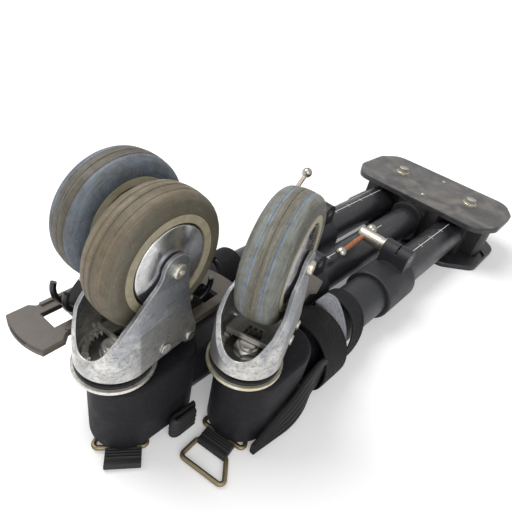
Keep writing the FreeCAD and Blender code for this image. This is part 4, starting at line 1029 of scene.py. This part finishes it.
def linkOutline(l):
    # Round end over the hook, ribbed web, and an open mouth over the anchor ring
    far, near = -l["ringDepth"] - l["pitch"], -l["ringDepth"]
    points = arc((far, 0), l["radius"], 270, 110, 14)
    first, last = far + l["radius"] * l["webStart"], near - l["mouth"]
    steps = l["ribSteps"] * l["ribs"]
    for i in range(steps + 1):
        share = i / steps
        rise = l["ribRise"] * abs(math.sin(math.pi * l["ribs"] * share)) ** l["ribRound"]
        points.append((first + (last - first) * share, l["webTop"] + rise * (0 < share < 1)))
    points += arc((near, 0), l["mouth"], 180, 360, 10)
    points += arc((near, 0), l["radius"], 0, -90, 8)
    return points


def linkMesh(name, l, side):
    # The outline drawn out along the ring's axle, with bevelled ends
    origin, ahead, axle = ringFrame(side)
    outline = linkOutline(l)
    middle = sum((Vector(point) for point in outline), Vector((0, 0))) / len(outline)
    start, end = l["slide"][side] - l["length"] / 2, l["slide"][side] + l["length"] / 2
    verts = []
    for y, inset in ((start, l["inset"]), (start + l["bevel"], 0), (end - l["bevel"], 0), (end, l["inset"])):
        for point in outline:
            spot = Vector(point) + (middle - Vector(point)).normalized() * inset
            verts.append(origin + (ahead * spot.x + axle * y + upright * spot.y) * mm)
    count = len(outline)
    faces = ringFaces(4, count, closed=False)
    faces.append(tuple(range(count)))
    faces.append(tuple(range(3 * count, 4 * count)))
    return smoothMesh(name, verts, faces, 40)


def roundedPath(points, radius, steps):
    # Closed flat path through the points, each corner an arc
    path = []
    for i, corner in enumerate(points):
        corner = Vector(corner)
        toLast = (Vector(points[i - 1]) - corner).normalized()
        toNext = (Vector(points[(i + 1) % len(points)]) - corner).normalized()
        half = toLast.angle(toNext) / 2
        start = corner + toLast * radius / math.tan(half)
        end = corner + toNext * radius / math.tan(half)
        center = corner + (toLast + toNext).normalized() * radius / math.sin(half)
        for k in range(steps + 1):
            ray = (start - center).lerp(end - center, k / steps).normalized()
            path.append(center + ray * radius)
    return path


def hookMesh(name, h, start, side):
    # Four-sided wire loop that lies flat, from the link at start
    origin, ahead, axle = ringFrame(side)
    tip = start - h["depth"]
    corners = [(start, h["back"] / 2), (tip, h["shift"] + h["front"] / 2),
               (tip, h["shift"] - h["front"] / 2), (start, -h["back"] / 2)]
    path = roundedPath(corners, h["corner"], h["cornerSteps"])
    verts, count = [], len(path)
    for i in range(count):
        way = (path[(i + 1) % count] - path[i - 1]).normalized()
        outward = Vector((way.y, -way.x))
        for k in range(h["wireSides"]):
            angle = math.tau * k / h["wireSides"]
            spot = path[i] + outward * h["wire"] * math.cos(angle)
            rise = h["wire"] * math.sin(angle)
            verts.append(origin + (ahead * spot.x + axle * spot.y + upright * rise) * mm)
    return smoothMesh(name, verts, ringFaces(count, h["wireSides"]), 60)


hookStart = -linkShape["ringDepth"] - linkShape["pitch"]
for side in sides:
    mesh = linkMesh(side + "LinkMesh", linkShape, side)
    newPiece(side + "Link", mesh, paints["rubber"], side + "_hook", "black_rubber", side + "_hook_link")
    if side != "middle":
        mesh = hookMesh(side + "HookMesh", hookShape, hookStart, side)
        newPiece(side + "Hook", mesh, paints["wire"], side + "_hook", "bronzed_wire")
print("links and hooks built")


# Every CAD node that stays gets its finish here
nodeFinish = {"hub_top_plate": "plate", "hub_bottom_plate": "base", "hub_fasteners": "steel"}
legFinish = {"lug": "lug", "inner_tube": "tube", "outer_tube": "sleeve", "clamp_collar": "collar",
             "foot_casting": "casting", "clamp_screw": "steel", "fork": "fork", "brake_plate": "brake",
             "wheel_core": "core", "anchor_ring": "wire"}
ownFinish = {"swivel_bearing": "Race", "kingpin_set": "Lock", "pedal": "Pedal"}
for side in sides:
    for piece, finish in legFinish.items():
        nodeFinish[side + "_" + piece] = finish
    for piece, finish in ownFinish.items():
        nodeFinish[side + "_" + piece] = side + finish
for name, node in frame["nodes"].items():
    if node.hide_render:
        continue
    node.data.materials.clear()
    node.data.materials.append(paints[nodeFinish[name]])
print("CAD nodes dressed")


# Floor, light and camera
studio = {"floor": shade(244, 244, 244), "floorRough": 0.9, "floorSize": 80, "worldStrength": 0.4,
          "mirrorStrength": 0.8, "backdrop": 1.0, "nearGlow": 0.22, "farGlow": 0.8, "glowStart": 0.42,
          "glowEnd": 1.1}
lamps = {"keyLamp": {"place": (-0.7, 0.9, 1.6), "target": (-0.25, 0, 0.05), "size": 1.2, "power": 26},
         "fillLamp": {"place": (-1.2, -1.1, 1.0), "target": (-0.3, 0, 0.05), "size": 1.4, "power": 12}}


def studioFloor():
    # The floor glows only away from the part, so the part's own soft shadow stays on it
    mat, place = startMaterial("floorWhite")
    rays = addNode(mat, "ShaderNodeLightPath")
    seen = calc(mat, "MAXIMUM", rays.outputs["Is Camera Ray"], rays.outputs["Is Glossy Ray"])
    away = addNode(mat, "ShaderNodeVectorMath", operation="DISTANCE")
    plug(mat, away.inputs[0], place)
    away.inputs[1].default_value = (cadBox[0] + cadBox[1]) / 2
    glow = span(mat, away.outputs["Value"], studio["glowStart"], studio["glowEnd"], studio["nearGlow"],
                studio["farGlow"])
    coat(mat, studio["floor"], Roughness=studio["floorRough"], Emission_Color=(1, 1, 1, 1),
         Emission_Strength=times(mat, seen, glow))
    bpy.ops.mesh.primitive_grid_add(x_subdivisions=2, y_subdivisions=2, size=studio["floorSize"])
    floor = bpy.context.object
    floor.name = "studioFloor"
    floor.data.materials.append(mat)


def softLamp(name, lampData):
    data = bpy.data.lights.new(name, "AREA")
    data.shape = "DISK"
    data.size = lampData["size"]
    data.energy = lampData["power"]
    lamp = bpy.data.objects.new(name, data)
    lamp.location = lampData["place"]
    way = Vector(lampData["target"]) - Vector(lampData["place"])
    lamp.rotation_euler = way.to_track_quat("-Z", "Y").to_euler()
    bpy.context.scene.collection.objects.link(lamp)


def studioWorld():
    # White backdrop for the camera, dimmer for the part's own light and for its mirror images
    world = bpy.data.worlds.new("studioWorld")
    bpy.context.scene.world = world
    world.use_nodes = True
    nodes, links = world.node_tree.nodes, world.node_tree.links
    background = nodes["Background"]
    background.inputs["Color"].default_value = (1, 1, 1, 1)
    rays = nodes.new("ShaderNodeLightPath")
    mirror = nodes.new("ShaderNodeMapRange")
    mirror.inputs["To Min"].default_value = studio["worldStrength"]
    mirror.inputs["To Max"].default_value = studio["mirrorStrength"]
    links.new(rays.outputs["Is Glossy Ray"], mirror.inputs["Value"])
    level = nodes.new("ShaderNodeMix")
    links.new(rays.outputs["Is Camera Ray"], level.inputs[0])
    links.new(mirror.outputs[0], level.inputs[2])
    level.inputs[3].default_value = studio["backdrop"]
    links.new(level.outputs[0], background.inputs["Strength"])


photoView = {"place": (-0.6731, -0.1823, 0.3367), "heading": 35.885, "pitch": -35.527, "roll": 12.347,
             "focalPixels": 443.5, "imagePixels": 512, "nearest": 0.01}


def photoCamera():
    heading, pitch, roll = (math.radians(photoView[key]) for key in ("heading", "pitch", "roll"))
    flat = math.cos(pitch)
    ahead = Vector((flat * math.cos(heading), flat * math.sin(heading), math.sin(pitch)))
    level = ahead.cross(upright).normalized()
    upward = level.cross(ahead)
    right = math.cos(roll) * level + math.sin(roll) * upward
    top = -math.sin(roll) * level + math.cos(roll) * upward
    data = bpy.data.cameras.new("photoCamera")
    data.sensor_width = 36
    data.lens = data.sensor_width * photoView["focalPixels"] / photoView["imagePixels"]
    data.clip_start = photoView["nearest"]
    camera = bpy.data.objects.new("photoCamera", data)
    axes = Matrix((right, top, -ahead)).transposed().to_4x4()
    camera.matrix_world = Matrix.Translation(photoView["place"]) @ axes
    bpy.context.scene.collection.objects.link(camera)
    bpy.context.scene.camera = camera


studioFloor()
studioWorld()
for name, lampData in lamps.items():
    softLamp(name, lampData)
photoCamera()
bpy.context.scene.view_settings.view_transform = "Standard"
print("studio ready")
